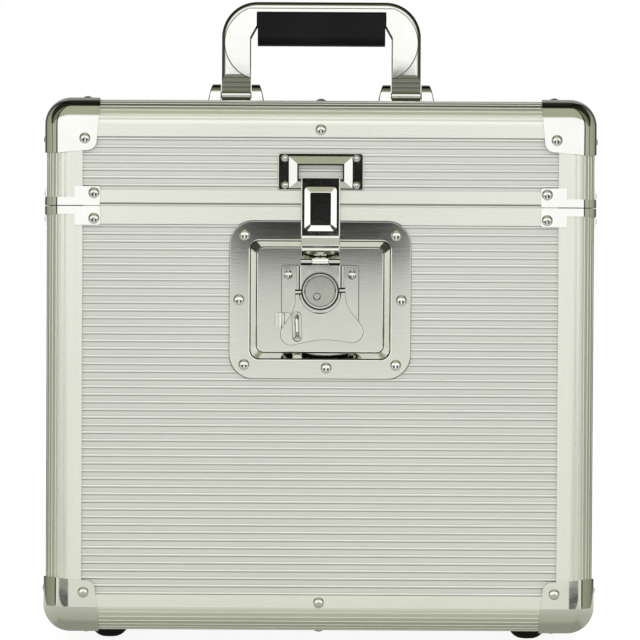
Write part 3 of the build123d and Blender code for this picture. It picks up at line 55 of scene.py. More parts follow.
# ---------------------------------------------------------------- node graph helpers
class Graph:
    """A material's node tree, built by short calls."""

    def __init__(self, name):
        self.material = bpy.data.materials.new(name)
        self.material.use_nodes = True
        self.tree = self.material.node_tree
        self.tree.nodes.clear()
        self.out = self.add("ShaderNodeOutputMaterial")
        self.shader = self.add("ShaderNodeBsdfPrincipled")
        self.link(self.shader.outputs["BSDF"], self.out.inputs["Surface"])
        self.place = self.add("ShaderNodeTexCoord").outputs["Object"]

    def add(self, kind, **values):
        node = self.tree.nodes.new(kind)
        for key, value in values.items():
            setattr(node, key, value)
        return node

    def link(self, a, b):
        self.tree.links.new(a, b)

    def feed(self, socket, value):
        if isinstance(value, bpy.types.NodeSocket):
            self.link(value, socket)
        else:
            socket.default_value = value

    def feed_colour(self, socket, value):
        self.feed(socket, value if isinstance(value, bpy.types.NodeSocket) else (*value, 1.0))

    def maths(self, operation, a, b=0.0, c=0.0):
        node = self.add("ShaderNodeMath", operation=operation)
        for socket, value in zip(node.inputs, (a, b, c)):
            self.feed(socket, value)
        return node.outputs[0]

    def split(self, vector=None):
        node = self.add("ShaderNodeSeparateXYZ")
        self.link(vector or self.place, node.inputs[0])
        return node.outputs

    def join(self, x=0.0, y=0.0, z=0.0):
        node = self.add("ShaderNodeCombineXYZ")
        for socket, value in zip(node.inputs, (x, y, z)):
            self.feed(socket, value)
        return node.outputs[0]

    def stretch(self, x, y, z):
        """The place on the piece, scaled along each axis."""
        node = self.add("ShaderNodeMapping")
        self.link(self.place, node.inputs["Vector"])
        node.inputs["Scale"].default_value = (x, y, z)
        return node.outputs[0]

    def noise(self, vector, scale=1.0, detail=2.0, rough=0.5):
        """Noise with this many swells in a unit of the vector, which is a metre for the place itself."""
        node = self.add("ShaderNodeTexNoise")
        self.link(vector, node.inputs["Vector"])
        node.inputs["Scale"].default_value = scale
        node.inputs["Detail"].default_value = detail
        node.inputs["Roughness"].default_value = rough
        return node.outputs["Fac"]

    def span(self, value, low, high, out_low, out_high):
        """A value's place between low and high, carried over to between out_low and out_high."""
        node = self.add("ShaderNodeMapRange")
        node.clamp = True
        for key, end in (("From Min", low), ("From Max", high), ("To Min", out_low), ("To Max", out_high)):
            self.feed(node.inputs[key], end)
        self.link(value, node.inputs["Value"])
        return node.outputs["Result"]

    def stripe(self, value, middle, half, faded, amount=1.0):
        """The amount where a value is within half of a middle, and none where it is further than faded."""
        off = self.maths("ABSOLUTE", self.maths("SUBTRACT", value, middle))
        return self.span(off, half, faded, amount, 0.0)

    def blend(self, factor, a, b, kind="MIX"):
        """Colour a where the factor is 0, and b where it is 1. The Mix node has its colours at 6, 7 and 2."""
        node = self.add("ShaderNodeMix", data_type="RGBA", blend_type=kind)
        self.feed(node.inputs[0], factor)
        self.feed_colour(node.inputs[6], a)
        self.feed_colour(node.inputs[7], b)
        return node.outputs[2]

    def fade(self, value, low, high, a, b):
        """Colour a where a value is below low, turning into b where it is above high."""
        return self.blend(self.span(value, low, high, 0.0, 1.0), a, b)

    def ramp(self, value, stops):
        """Colour ramp through (position, colour) stops."""
        node = self.add("ShaderNodeValToRGB")
        self.link(value, node.inputs[0])
        elements = node.color_ramp.elements
        elements[0].position, elements[1].position = stops[0][0], stops[-1][0]
        for position, _ in stops[1:-1]:
            elements.new(position)
        for element, (_, colour) in zip(elements, stops):
            element.color = (*colour, 1.0)
        return node.outputs[0]

    def grey_ramp(self, value, stops):
        return self.ramp(value, [(place, (grey, grey, grey)) for place, grey in stops])

    def emission(self, colour, strength=1.0):
        node = self.add("ShaderNodeEmission")
        self.feed_colour(node.inputs["Color"], colour)
        node.inputs["Strength"].default_value = strength
        return node.outputs[0]

    def mixed(self, factor, a, b):
        """Shader a where the factor is 0, and b where it is 1."""
        node = self.add("ShaderNodeMixShader")
        for socket, value in zip(node.inputs, (factor, a, b)):
            self.link(value, socket)
        return node.outputs[0]

    def colour(self, value):
        self.feed_colour(self.shader.inputs["Base Color"], value)

    def set(self, **values):
        for key, value in values.items():
            self.feed(self.shader.inputs[key.replace("_", " ")], value)

    def bump(self, height, strength, distance):
        """Relief that a height gives the surface. The distance, in metres, is between heights of 0 and 1."""
        node = self.add("ShaderNodeBump")
        node.inputs["Strength"].default_value = strength
        node.inputs["Distance"].default_value = distance
        self.link(height, node.inputs["Height"])
        self.link(node.outputs[0], self.shader.inputs["Normal"])


def shaded(tint, by):
    return tuple(part * by for part in tint)


def dress(material, *names):
    for name in names:
        mesh = nodes[name].data
        mesh.materials.clear()
        mesh.materials.append(material)


# ---------------------------------------------------------------- noise spans and painted shade that the metals share
# Between these lie most of a noise's values.
MOST = (0.3, 0.7)
# Painted shade on faces turned from the front sets in and fades over these spans of the normal's depth.
EDGE_SHADE_IN, EDGE_SHADE_OUT = 0.12, 0.10
# Painted shade lies within reach of what stands up: whole where this much of the sky is open, and gone at the
# second.
CREVICE_SHADE_TINT, CREVICE_SHADE_AMOUNT = (0.045, 0.045, 0.04), 0.9
CREVICE_SHADE_REACH = 0.0014
CREVICE_SHADE_SKY = (0.52, 0.78)


def painted_edge_shade(g, tint, inner, outer, dark):
    """Painted shade on what is turned away from the front. There is none where the normal's depth is above
    outer, and it is whole between inner and there. Below inner it fades out again, so that a wall beside a
    rounded lip stays bright."""
    depth = g.maths("ABSOLUTE", g.split(g.add("ShaderNodeTexCoord").outputs["Normal"])[1])
    factor = g.span(depth, outer - EDGE_SHADE_OUT, outer, 1.0, 0.0)
    if inner:
        factor = g.maths("MULTIPLY", factor, g.span(depth, inner - EDGE_SHADE_IN, inner, 0.0, 1.0))
    return g.blend(factor, tint, dark)


def painted_crevice_shade(g, tint):
    """Painted shade in the crevices: a dark line on a surface beside what stands up from it."""
    open_sky = g.add("ShaderNodeAmbientOcclusion", samples=8)
    open_sky.inputs["Distance"].default_value = CREVICE_SHADE_REACH
    return g.blend(g.span(open_sky.outputs["AO"], *CREVICE_SHADE_SKY, CREVICE_SHADE_AMOUNT, 0.0), tint, CREVICE_SHADE_TINT)


# ---------------------------------------------------------------- satin anodised extrusions
# How closely the die's lines lie across an extrusion, and how slowly they change along it, per metre.
DIE_LINES, DIE_DRIFT = 2600.0, 6.0
lid_rim_low, body_rim_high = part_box("lid_rim")[0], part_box("body_rim")[1]
CASE_HALF_WIDTH, CASE_HALF_DEPTH = body_rim_high[0], body_rim_high[1]
# How far in from the case's sides the side lengths of its rims and trims reach.
SIDE_REACH = 0.0245
# The height between the rims of the body and the lid, and half of the width of the painted shade line there.
PARTING = (lid_rim_low[2] + body_rim_high[2]) / 2
PARTING_LINE = 0.0004


def anodised(name, streaks, tint=(0.935, 0.945, 0.872), rough=0.30):
    """streaks gives the vector that the die's lines vary with."""
    g = Graph(name)
    lines = g.noise(streaks(g), detail=3.0, rough=0.6)
    cloud = g.noise(g.place, scale=14.0)
    shade = g.maths("MULTIPLY_ADD", lines, 0.06, 0.94)
    shade = g.maths("MULTIPLY_ADD", cloud, 0.05, shade)
    plain = g.fade(shade, 0.94, 1.05, shaded(tint, 0.90), tint)
    # A painted shade line along the parting between body and lid.
    parting_shade = g.stripe(g.split()[2], PARTING, PARTING_LINE, 2 * PARTING_LINE, 0.8)
    g.colour(g.blend(parting_shade, plain, (0.10, 0.10, 0.09)))
    g.set(Metallic=0.96, Roughness=g.span(lines, *MOST, rough - 0.06, rough + 0.06))
    g.bump(lines, strength=0.03, distance=0.0002)
    return g.material


def upright_streaks(g):
    return g.stretch(DIE_LINES, DIE_LINES, DIE_DRIFT)


def level_streaks(g):
    """Lines along X on the front and back lengths, and along Y on the side ones."""
    x, y, z = g.split()
    side = g.maths("GREATER_THAN", g.maths("ABSOLUTE", x), CASE_HALF_WIDTH - SIDE_REACH)
    front = g.maths("SUBTRACT", 1.0, side)
    across = g.maths("ADD", g.maths("MULTIPLY", side, x), g.maths("MULTIPLY", front, y))
    along = g.maths("ADD", g.maths("MULTIPLY", side, y), g.maths("MULTIPLY", front, x))
    return g.join(g.maths("MULTIPLY", across, DIE_LINES), g.maths("MULTIPLY", along, DIE_DRIFT),
                  g.maths("MULTIPLY", z, DIE_LINES))


dress(anodised("post_anodised", upright_streaks), "body_corner_posts", "lid_corner_posts")
dress(anodised("rail_anodised", level_streaks), "bottom_edge_trims", "lid_top_trims", "body_rim", "lid_rim")


# ---------------------------------------------------------------- embossed sheets
# Where a sheet's first rib is from its edge, and the next one from that, as in the part's source.
FIRST_RIB, RIB_PITCH = 0.0035, 0.00487
# How closely the brushed lines lie across the ribs, and how slowly they change along them, per metre.
BRUSHING, BRUSH_DRIFT = 3200.0, 5.0
# Painted stripes beside a rib's middle, in mm: a highlight on the crest and shade in the crease below. For
# each:
# where it lies, how far it is whole, where it ends, how strong it is.
CREST, CREST_HIGHLIGHT_TINT = (0.15, 0.2, 0.55, 0.8), (0.98, 0.98, 0.95)
CREASE, CREASE_SHADE_TINT = (-0.95, 0.18, 0.42, 0.45), (0.25, 0.25, 0.235)
Y, Z = 1, 2


def ribbed(name, node, axis, tint=(0.76, 0.76, 0.73)):
    """Sheet with its ribs across an axis, each with a painted highlight on its crest and painted shade in the
    crease below.
    """
    g = Graph(name)
    across = g.split()[axis]
    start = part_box(node)[0][axis] + FIRST_RIB
    ribs_from_start = g.maths("DIVIDE", g.maths("SUBTRACT", across, start), RIB_PITCH)
    phase = g.maths("FRACT", g.maths("ADD", ribs_from_start, 0.5))
    beside = g.maths("MULTIPLY", g.maths("SUBTRACT", phase, 0.5), RIB_PITCH * 1000.0)
    closeness = [BRUSHING if i == axis else BRUSH_DRIFT for i in range(3)]
    brush = g.noise(g.stretch(*closeness), detail=3.0, rough=0.6)
    cloud = g.noise(g.place, scale=9.0, detail=3.0)
    base = g.fade(cloud, *MOST, shaded(tint, 0.965), tint)
    base = g.blend(g.span(brush, 0.35, 0.7, 0.0, 0.35), base, shaded(tint, 0.90))
    # A painted highlight on each crest, then painted shade in each crease.
    base = g.blend(g.stripe(beside, *CREST), base, CREST_HIGHLIGHT_TINT)
    g.colour(g.blend(g.stripe(beside, *CREASE), base, CREASE_SHADE_TINT))
    g.set(Metallic=0.72, Roughness=g.span(brush, *MOST, 0.36, 0.48))
    g.bump(brush, strength=0.10, distance=0.0002)
    return g.material


dress(ribbed("body_ribbed_sheet", "body_front_skin", Z),
      "body_front_skin", "body_back_skin", "body_side_skins")
dress(ribbed("lid_ribbed_sheet", "lid_front_skin", Z), "lid_front_skin", "lid_back_skin", "lid_side_skins")
dress(ribbed("top_ribbed_sheet", "lid_top_skin", Y), "lid_top_skin", "bottom_skin")


# ---------------------------------------------------------------- plated pressings
# Rubbed scratches along each axis, and a turned disc's rings, per metre.
RUBBED, TURNED = (900.0, 240.0, 1300.0), 4200.0
# Painted rings of light and shade on a turned disc, as parts of its radius. The stripes are given as on the
# sheets. The
# dark rim is painted shade: it sets in over the first span and ends over the second, so that the disc's side
# stays plain.
BAND, BAND_HIGHLIGHT_TINT = (0.855, 0.035, 0.055), (1.0, 1.0, 0.98)
BAND_LINE, LINE_SHADE_TINT = (0.79, 0.012, 0.028, 0.7), (0.08, 0.08, 0.07)
RIM_SPAN, RIM_END, RIM_AMOUNT, RIM_SHADE_TINT = (0.90, 0.93), (0.972, 0.985), 0.95, (0.04, 0.04, 0.035)


def chromed(name, tint=(0.88, 0.88, 0.855), rough=0.045, wave=0.05, scratches=0.04, swells=30.0,
            edge=None, crevice_shaded=True):
    """Bright plate: a very slight waviness, its swells per metre, and fine rubbed scratches. edge gives the
    painted shade on faces turned from the front, and unless switched off, painted shade also darkens its
    crevices."""
    g = Graph(name)
    wavy = g.noise(g.place, scale=swells)
    fine = g.noise(g.stretch(*RUBBED))
    cloud = g.noise(g.place, scale=55.0, detail=3.0)
    plain = g.fade(cloud, 0.35, 0.7, tint, shaded(tint, 0.95))
    wear_and_edge_shade = painted_edge_shade(g, plain, *edge) if edge else plain
    g.colour(painted_crevice_shade(g, wear_and_edge_shade) if crevice_shaded else wear_and_edge_shade)
    g.set(Metallic=1.0, Roughness=g.span(fine, 0.45, 0.75, rough, rough + scratches))
    g.bump(wavy, strength=wave, distance=0.002)
    return g.material


def brushed(name, tint, vector, rough=0.28, spread=0.10, bump=0.10, edge=None, turned=None):
    """Plate with directional brushing, its lines taken from a vector, and painted shade in its crevices. edge
    gives painted shade on faces turned from the front, and turned adds painted rings of highlight and shade
    to its colour.
    """
    g = Graph(name)
    lines = g.noise(vector(g), detail=3.0, rough=0.6)
    plain = g.fade(lines, *MOST, shaded(tint, 0.93), tint)
    plain = turned(g, plain) if turned else plain
    g.colour(painted_crevice_shade(g, painted_edge_shade(g, plain, *edge) if edge else plain))
    g.set(Metallic=1.0, Roughness=g.span(lines, *MOST, rough - spread / 2, rough + spread / 2))
    g.bump(lines, strength=bump, distance=0.0002)
    return g.material


def straight(x, y, z):
    return lambda g: g.stretch(x, y, z)


def radius_from(g, centre):
    """Distance from a point of the front face, in that face."""
    x, _, z = g.split()
    dx, dz = g.maths("SUBTRACT", x, centre[0]), g.maths("SUBTRACT", z, centre[1])
    return g.maths("SQRT", g.maths("ADD", g.maths("MULTIPLY", dx, dx), g.maths("MULTIPLY", dz, dz)))


def spun(centre):
    """Lines in rings about a point of the front face."""
    return lambda g: g.join(g.maths("MULTIPLY", radius_from(g, centre), TURNED))


def painted_ring_shading(centre, reach):
    """A painted highlight band inside the rim of a turned disc, between a painted fine dark line and the
    painted shade of the rim itself.
    """
    def painted_rings(g, plain):
        out = g.maths("DIVIDE", radius_from(g, centre), reach)
        band = g.blend(g.stripe(out, *BAND), plain, BAND_HIGHLIGHT_TINT)
        lined = g.blend(g.stripe(out, *BAND_LINE), band, LINE_SHADE_TINT)
        rim = g.maths("MULTIPLY", g.span(out, *RIM_SPAN, 0.0, RIM_AMOUNT), g.span(out, *RIM_END, 1.0, 0.0))
        return g.blend(rim, lined, RIM_SHADE_TINT)
    return painted_rings


# All chrome but the hook gets painted shade in its crevices.
dress(chromed("bright_chrome"), "bottom_corner_caps", "top_corner_caps", "body_rim_clips", "lid_rim_clips",
      "catch_plate", "wing_clip", "padlock_staple")
dress(chromed("hook_chrome", tint=(0.98, 0.98, 0.95), rough=0.04, crevice_shaded=False), "latch_hook")
# Painted shade, this dark, on each handle part's faces turned from the front.
for handle_part, outer, dark in (("handle_bail", 0.995, (0.15, 0.15, 0.11)),
                                 ("handle_brackets", 0.96, (0.26, 0.27, 0.21))):
    dress(chromed(handle_part + "_chrome", tint=(0.91, 0.91, 0.89), rough=0.04, scratches=0.02, swells=22.0,
                  edge=(0.45, outer, dark)), handle_part)
dress(chromed("rivet_metal", tint=(0.86, 0.86, 0.84), rough=0.04, wave=0.04, swells=260.0),
      "body_rivets", "lid_rivets", "dish_rivets", "base_plate_rivets", "catch_rivets", "bracket_rivets",
      "hinge_body_rivets", "hinge_lid_rivets", "foot_screws")

# The latch's pieces share a slightly greyer plate than the rest.
LATCH_TINT = (0.79, 0.795, 0.74)
# Each latch piece gets painted shade, as dark as its edge gives, on faces turned from the front.
dress(brushed("dish_plate", LATCH_TINT, straight(60.0, 60.0, 3000.0), rough=0.065, spread=0.015, bump=0.02,
              edge=(0.55, 0.95, (0.05, 0.05, 0.045))), "latch_dish")
dress(chromed("base_plate_chrome", tint=LATCH_TINT, rough=0.05, wave=0.03, scratches=0.03, swells=40.0,
              edge=(0, 0.985, (0.04, 0.04, 0.036))), "turnkey_wing")
dress(chromed("bridge_chrome", tint=LATCH_TINT, rough=0.05, wave=0.03, scratches=0.03, swells=40.0,
              edge=(0.45, 0.985, (0.06, 0.06, 0.055))), "latch_base_plate", "latch_slider")
low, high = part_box("turnkey_rotor")
rotor_centre = ((low[0] + high[0]) / 2, (low[2] + high[2]) / 2)
rotor_radius = (high[0] - low[0]) / 2
# The rotor gets painted shade at its edge, and painted rings of highlight and shade by its rim.
dress(brushed("rotor_spun", (0.66, 0.665, 0.61), spun(rotor_centre), rough=0.10, spread=0.03, bump=0.04,
              edge=(0.45, 0.97, (0.04, 0.04, 0.035)), turned=painted_ring_shading(rotor_centre, rotor_radius)),
      "turnkey_rotor")
dress(brushed("hinge_plate", (0.78, 0.78, 0.76), straight(3000.0, 60.0, 60.0), rough=0.22),
      "hinge_body_leaves", "hinge_lid_leaves")
dress(brushed("pin_steel", (0.62, 0.62, 0.60), straight(80.0, 2600.0, 2600.0), rough=0.30),
      "hinge_pins", "hook_pin", "wing_pins", "handle_pins")


# ---------------------------------------------------------------- board, plastic and rubber
def fibreboard():
    g = Graph("fibreboard")
    fibre = g.noise(g.place, scale=420.0, detail=4.0, rough=0.65)
    layer = g.noise(g.place, scale=90.0)
    g.colour(g.blend(g.maths("MULTIPLY", fibre, layer), (0.60, 0.47, 0.32), (0.33, 0.23, 0.14)))
    g.set(Roughness=0.85)
    g.bump(fibre, strength=0.4, distance=0.0004)
    return g.material


dress(fibreboard(), "body_front_board", "body_back_board", "body_side_boards", "bottom_board",
      "lid_front_board", "lid_back_board", "lid_side_boards", "lid_top_board")


def moulded(name, tint, rough, grain, depth):
    """Black plastic or rubber with a fine moulded grain, rubbed a little paler in places."""
    g = Graph(name)
    pebble = g.noise(g.place, scale=grain, detail=3.0, rough=0.55)
    wear_and_edge_shade = g.noise(g.place, scale=40.0, detail=3.0)
    g.colour(g.fade(wear_and_edge_shade, 0.3, 0.8, tint, tuple(part * 1.6 + 0.004 for part in tint)))
    g.set(Roughness=g.span(wear_and_edge_shade, *MOST, rough - 0.05, rough + 0.07), Specular_IOR_Level=0.10)
    g.bump(pebble, strength=0.35, distance=depth)
    return g.material


dress(moulded("grip_plastic", (0.005, 0.005, 0.0055), 0.42, 1400.0, 0.0002), "handle_grip")
dress(moulded("foot_rubber", (0.014, 0.014, 0.014), 0.62, 900.0, 0.0003), "feet")


# ---------------------------------------------------------------- foam linings
PORES = 900.0           # per metre
UNEVEN = 22.0           # swells per metre


def foam():
    g = Graph("lining_foam")
    pores = g.add("ShaderNodeTexVoronoi")
    g.link(g.place, pores.inputs["Vector"])
    pores.inputs["Scale"].default_value = PORES
    cells = pores.outputs["Distance"]
    cloud = g.noise(g.place, scale=25.0, detail=4.0)
    tone = g.fade(cloud, *MOST, (0.030, 0.030, 0.033), (0.052, 0.052, 0.056))
    g.colour(g.blend(g.span(cells, 0.0, 0.35, 0.6, 0.0), tone, (0.012, 0.012, 0.013)))
    g.set(Roughness=0.93, Sheen_Weight=0.25)
    g.bump(cells, strength=0.6, distance=0.0005)
    return g.material


foam_material = foam()


def foam_piece(name, node, body, make):
    """A lining whose mesh make fills. It stands for a node of the frame and rides on that node's body."""
    mesh = bpy.data.meshes.new(name)
    shape = bmesh.new()
    make(shape)
    bmesh.ops.recalc_face_normals(shape, faces=shape.faces)
    shape.to_mesh(mesh)
    shape.free()
    piece = bpy.data.objects.new(name, mesh)
    bpy.context.scene.collection.objects.link(piece)
    mesh.materials.append(foam_material)
    for polygon in mesh.polygons:
        polygon.use_smooth = True
    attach(piece, body)
    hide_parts(node)


def foam_slab(shape, low, high, cell, swell=0.00035, edge_width=0.006):
    """Closed foam sheet between two corners: pressed in slightly at its edges and never quite flat."""
    thin = min(range(3), key=lambda i: high[i] - low[i])
    u, v = [i for i in range(3) if i != thin]
    size = [high[i] - low[i] for i in range(3)]
    across, along = (max(2, int(size[i] / cell)) for i in (u, v))

    def point(i, j, face):
        a, b = i / across, j / along
        p = [0.0, 0.0, 0.0]
        p[u], p[v] = low[u] + size[u] * a, low[v] + size[v] * b
        edge = min(a * size[u], (1 - a) * size[u], b * size[v], (1 - b) * size[v])
        settle = swell * (1.0 - min(edge / edge_width, 1.0)) ** 2
        wave = swell * 0.45 * (0.5 + 0.5 * noise.noise(Vector(p) * UNEVEN))
        inset = min(settle + wave, size[thin] * 0.4)
        p[thin] = low[thin] + inset if face == 0 else high[thin] - inset
        return shape.verts.new(p)

    grids = [[[point(i, j, face) for j in range(along + 1)] for i in range(across + 1)] for face in (0, 1)]
    for face, grid in enumerate(grids):
        for i in range(across):
            for j in range(along):
                quad = [grid[i][j], grid[i + 1][j], grid[i + 1][j + 1], grid[i][j + 1]]
                shape.faces.new(quad if face else quad[::-1])
    ring = [(i, 0) for i in range(across)] + [(across, j) for j in range(along)]
    ring += [(i, along) for i in range(across, 0, -1)] + [(0, j) for j in range(along, 0, -1)]
    for (i, j), (k, m) in zip(ring, ring[1:] + ring[:1]):
        shape.faces.new([grids[0][i][j], grids[0][k][m], grids[1][k][m], grids[1][i][j]])


def islands(node):
    """Boxes of a node's separate solids, each as (low, high)."""
    shape = bmesh.new()
    shape.from_mesh(nodes[node].data)
    bmesh.ops.remove_doubles(shape, verts=shape.verts, dist=1e-6)
    seen, found = set(), []
    for start in shape.verts:
        if start in seen:
            continue
        stack, group = [start], []
        seen.add(start)
        while stack:
            vert = stack.pop()
            group.append(vert.co.copy())
            for edge in vert.link_edges:
                other = edge.other_vert(vert)
                if other not in seen:
                    seen.add(other)
                    stack.append(other)
        found.append((Vector([min(p[i] for p in group) for i in range(3)]),
                      Vector([max(p[i] for p in group) for i in range(3)])))
    shape.free()
    return found


def flat_lining(name, node, body, cell=0.008):
    """A slab of foam for each of a node's flat sheets."""
    def make(shape):
        for low, high in islands(node):
            foam_slab(shape, low, high, cell)
    foam_piece(name, node, body, make)


def shaped_lining(name, node, body, cell=0.009, swell=0.0003):
    """Closed foam shape that follows a node's own outline: its faces divided, then drawn in unevenly."""
    def make(shape):
        shape.from_mesh(nodes[node].data)
        bmesh.ops.remove_doubles(shape, verts=shape.verts, dist=1e-6)
        for _ in range(6):
            long_edges = [edge for edge in shape.edges if edge.calc_length() > cell]
            bmesh.ops.subdivide_edges(shape, edges=long_edges, cuts=1)
            bmesh.ops.triangulate(shape, faces=[face for face in shape.faces if len(face.verts) > 3])
        shape.normal_update()
        for vert in shape.verts:
            depth = swell * (0.55 + 0.45 * noise.noise(vert.co * UNEVEN))
            vert.co -= vert.normal * depth
    foam_piece(name, node, body, make)


flat_lining("foam_floor", "floor_lining", "case")
flat_lining("foam_back", "body_back_lining", "case")
flat_lining("foam_sides", "body_side_linings", "case")
flat_lining("foam_lid", "lid_lining", "lid")
shaped_lining("foam_front", "body_front_lining", "case")


# ---------------------------------------------------------------- smooth shading on the carried-over solids
SHARP_EDGE = radians(24)

for node in nodes.values():
    for polygon in node.data.polygons:
        polygon.use_smooth = True
    node.modifiers.new("edges", "EDGE_SPLIT").split_angle = SHARP_EDGE


# ---------------------------------------------------------------- studio floor
FLOOR_TINT = (0.86, 0.86, 0.83)
FLOOR_HALF = 6.0
FLOOR_DROP = 0.0004
# To the camera the floor is this bright in itself, over this part of what it shows. The rest has the shadow.
FLOOR_GLOW, FLOOR_GLOW_PART = 1.11, 0.82
# In bright metal the floor is seen only this near to the case, and its colour there goes by the distance, as
# parts of that length: a painted shadow, darkest beside the case. Beyond it the studio shows.
FLOOR_REACH = 0.19
FLOOR_SEEN_WITH_SHADOW = [(0.0, (0.29, 0.30, 0.24)), (0.05, (0.42, 0.43, 0.35)), (0.25, (0.48, 0.49, 0.41)),
              (0.5, (0.53, 0.54, 0.46)), (1.0, (0.64, 0.66, 0.57))]


def floor_material():
    """Plain floor: white to the camera but for the object's shadow, and in bright metal a pale olive with a
    painted shadow near the case.
    """
    g = Graph("studio_floor")
    g.colour(FLOOR_TINT)
    g.set(Roughness=0.9)
    path = g.add("ShaderNodeLightPath").outputs
    glow = g.maths("MULTIPLY", path["Is Camera Ray"], FLOOR_GLOW_PART)
    seen = g.mixed(glow, g.shader.outputs[0], g.emission((1.0, 1.0, 1.0), FLOOR_GLOW))
    x, y, _ = g.split()
    away = g.maths("MAXIMUM", g.maths("SUBTRACT", g.maths("ABSOLUTE", x), CASE_HALF_WIDTH),
                   g.maths("SUBTRACT", g.maths("ABSOLUTE", y), CASE_HALF_DEPTH))
    away = g.maths("DIVIDE", away, FLOOR_REACH)
    clear = g.add("ShaderNodeBsdfTransparent").outputs[0]
    # In bright metal the floor near the case shows a painted shadow.
    mirrored = g.mixed(g.maths("GREATER_THAN", away, 1.0), g.emission(g.ramp(away, FLOOR_SEEN_WITH_SHADOW)), clear)
    g.link(g.mixed(path["Is Glossy Ray"], seen, mirrored), g.out.inputs["Surface"])
    return g.material


def rectangle(name, corners, place):
    mesh = bpy.data.meshes.new(name)
    mesh.from_pydata(corners, [], [(0, 1, 2, 3)])
    piece = bpy.data.objects.new(name, mesh)
    piece.location = place
    bpy.context.scene.collection.objects.link(piece)
    return piece


def floor():
    half = FLOOR_HALF
    corners = [(-half, -half, 0), (half, -half, 0), (half, half, 0), (-half, half, 0)]
    plane = rectangle("studio_floor", corners, (0.0, 0.0, -FLOOR_DROP))
    plane.data.materials.append(floor_material())


# ---------------------------------------------------------------- the room that bright metal reflects
# A dark doorway behind the camera. Its two ramps say how solid it is, from its middle to its sides and from
# its foot to its top.
DOORWAY_PLACE, DOORWAY_SIZE = (0.0, -2.9, 0.295), (0.46, 0.53)
DOORWAY_TINT = (0.010, 0.010, 0.009)
DOORWAY_ACROSS = [(0.0, 1.0), (0.58, 1.0), (0.80, 0.0)]
DOORWAY_UPWARD = [(0.0, 0.0), (0.04, 0.08), (0.15, 0.17), (0.276, 0.28), (0.335, 0.34), (0.375, 0.45),
                  (0.405, 0.60), (0.43, 0.93), (0.45, 1.0), (0.958, 1.0), (0.975, 0.0)]


def doorway():
    """Upright card with soft edges that only reflections see."""
    w, h = DOORWAY_SIZE[0] / 2, DOORWAY_SIZE[1] / 2
    card = rectangle("dark_room", [(-w, 0, -h), (w, 0, -h), (w, 0, h), (-w, 0, h)], DOORWAY_PLACE)
    g = Graph("dark_room")
    x, _, z = g.split()
    beside = g.maths("DIVIDE", g.maths("ABSOLUTE", x), w)
    above = g.maths("MULTIPLY_ADD", z, 0.5 / h, 0.5)
    solid = g.maths("MULTIPLY", g.grey_ramp(beside, DOORWAY_ACROSS), g.grey_ramp(above, DOORWAY_UPWARD))
    clear = g.add("ShaderNodeBsdfTransparent").outputs[0]
    g.link(g.mixed(solid, clear, g.emission(DOORWAY_TINT)), g.out.inputs["Surface"])
    card.data.materials.append(g.material)
    card.visible_camera = False
    card.visible_diffuse = False
    card.visible_shadow = False


# What bright metal sees, by its height from the front horizon over the top to the back, and by how far round
# it is from the front to the back, as parts of 180 degrees: a lit white studio in front, an olive ceiling
# with its dark middle, a dark post at each side and grey walls behind.
WHITE, OLIVE = (1.0, 1.0, 0.985), (0.38, 0.39, 0.28)
POST, BEHIND = (0.06, 0.06, 0.05), (0.30, 0.30, 0.28)
OVERHEAD = [(0.0, WHITE), (0.20, WHITE), (0.235, OLIVE), (0.455, OLIVE), (0.475, (0.04, 0.04, 0.035)),
            (0.66, (0.06, 0.06, 0.055)), (0.74, (0.9, 0.9, 0.86)), (1.0, (1.0, 1.0, 0.97))]
ROUND = [(0.0, (1, 1, 1)), (0.335, (1, 1, 1)), (0.342, POST), (0.372, POST), (0.38, (0.42, 0.43, 0.34)),
         (0.56, (0.36, 0.37, 0.29)), (0.72, (0.26, 0.26, 0.22)), (0.76, POST), (0.84, POST), (0.86, BEHIND),
         (1.0, BEHIND)]
# The studio below the horizon, by how steeply, as parts of 90 degrees.
BELOW = [(0.0, WHITE), (0.011, (0.94, 0.94, 0.90)), (0.067, (0.67, 0.68, 0.60)), (0.2, (0.76, 0.77, 0.70)),
         (0.44, (0.93, 0.94, 0.90)), (0.6, (1.0, 1.0, 0.98)), (1.0, (0.5, 0.5, 0.46))]
# A dark stand is low down at each side: where it fades in and out, how steeply down and how far round.
STAND_TINT, STAND_AMOUNT = (0.03, 0.03, 0.025), 0.95
STAND_DOWN = ((0.060, 0.068), (0.50, 0.70))
STAND_ROUND = ((0.060, 0.085), (0.25, 0.27))
# How strong the world is as the background, as soft light and in reflections.
SEEN_WORLD, SOFT_WORLD, MIRRORED_WORLD = 1.0, 0.80, 1.12


class WorldGraph(Graph):
    """The world's node tree, with the same short calls."""

    def __init__(self):
        world = bpy.data.worlds.new("studio")
        bpy.context.scene.world = world
        world.use_nodes = True
        self.tree = world.node_tree
        self.tree.nodes.clear()
        self.out = self.add("ShaderNodeOutputWorld")
        self.place = self.add("ShaderNodeTexCoord").outputs["Generated"]

    def background(self, colour, strength):
        node = self.add("ShaderNodeBackground")
        self.feed_colour(node.inputs[0], colour)
        node.inputs[1].default_value = strength
        return node.outputs[0]

    def between(self, value, fade_in, fade_out):
        begun = self.span(value, *fade_in, 0.0, 1.0)
        return self.maths("MULTIPLY", begun, self.span(value, *fade_out, 1.0, 0.0))


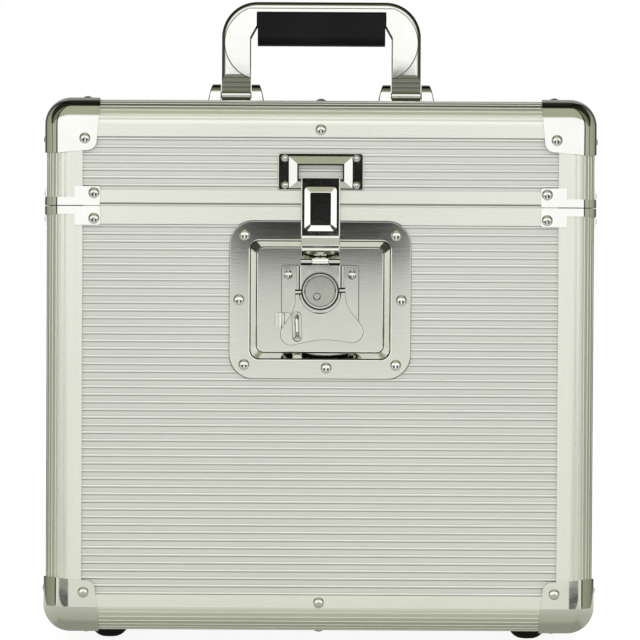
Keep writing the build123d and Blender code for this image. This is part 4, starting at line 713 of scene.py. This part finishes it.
def world():
    g = WorldGraph()
    x, y, z = g.split()
    ahead = g.maths("MULTIPLY", y, -1.0)
    height = g.maths("DIVIDE", g.maths("ARCTAN2", g.maths("MAXIMUM", z, 0.0), ahead), pi)
    down = g.maths("DIVIDE", g.maths("ARCSINE", g.maths("MULTIPLY", z, -1.0)), pi / 2)
    side = g.maths("DIVIDE", g.maths("ARCTAN2", g.maths("ABSOLUTE", x), ahead), pi)
    upright = g.blend(g.maths("LESS_THAN", z, 0.0), g.ramp(height, OVERHEAD), g.ramp(down, BELOW))
    walls = g.blend(1.0, upright, g.ramp(side, ROUND), kind="MULTIPLY")
    stand = g.maths("MULTIPLY", g.between(down, *STAND_DOWN), g.between(side, *STAND_ROUND))
    room = g.blend(g.maths("MULTIPLY", stand, STAND_AMOUNT), walls, STAND_TINT)
    path = g.add("ShaderNodeLightPath").outputs
    soft = g.background((1.0, 1.0, 0.97), SOFT_WORLD)
    lit = g.mixed(path["Is Glossy Ray"], soft, g.background(room, MIRRORED_WORLD))
    plain = g.background((1.0, 1.0, 1.0), SEEN_WORLD)
    g.link(g.mixed(path["Is Camera Ray"], lit, plain), g.out.inputs["Surface"])


# ---------------------------------------------------------------- lamps and camera
LIT_POINT = (0.0, 0.0, 0.2)
CAMERA_PLACE, CAMERA_AIM = Vector((0.0, -2.13, 0.2445)), Vector((0.0, -0.13, 0.2071))
CAMERA_LENS, CAMERA_ROLL = 177.2, radians(0.3)


def lamp(name, place, size, power):
    """Soft lamp turned to the case. Metal doesn't mirror it: the world stands for it there."""
    light = bpy.data.lights.new(name, "AREA")
    light.shape = "RECTANGLE"
    light.size, light.size_y = size
    light.energy = power
    piece = bpy.data.objects.new(name, light)
    piece.location = place
    piece.rotation_euler = (Vector(LIT_POINT) - Vector(place)).to_track_quat("-Z", "Y").to_euler()
    piece.visible_glossy = False
    bpy.context.scene.collection.objects.link(piece)


def camera():
    data = bpy.data.cameras.new("camera")
    data.sensor_width = 36.0
    data.lens = CAMERA_LENS
    data.clip_start, data.clip_end = 0.05, 50.0
    piece = bpy.data.objects.new("camera", data)
    piece.location = CAMERA_PLACE
    look = (CAMERA_AIM - CAMERA_PLACE).to_track_quat("-Z", "Y").to_matrix()
    piece.rotation_euler = (look @ Matrix.Rotation(CAMERA_ROLL, 3, "Z")).to_euler()
    bpy.context.scene.collection.objects.link(piece)
    bpy.context.scene.camera = piece


floor()
world()
doorway()
lamp("key_left", (-1.6, -1.9, 1.6), (2.4, 2.0), 18.0)
lamp("key_right", (1.6, -1.9, 1.4), (2.4, 2.0), 14.0)
lamp("top", (0.0, -0.1, 2.2), (1.8, 1.8), 6.0)
camera()
bpy.context.scene.view_settings.view_transform = "Standard"
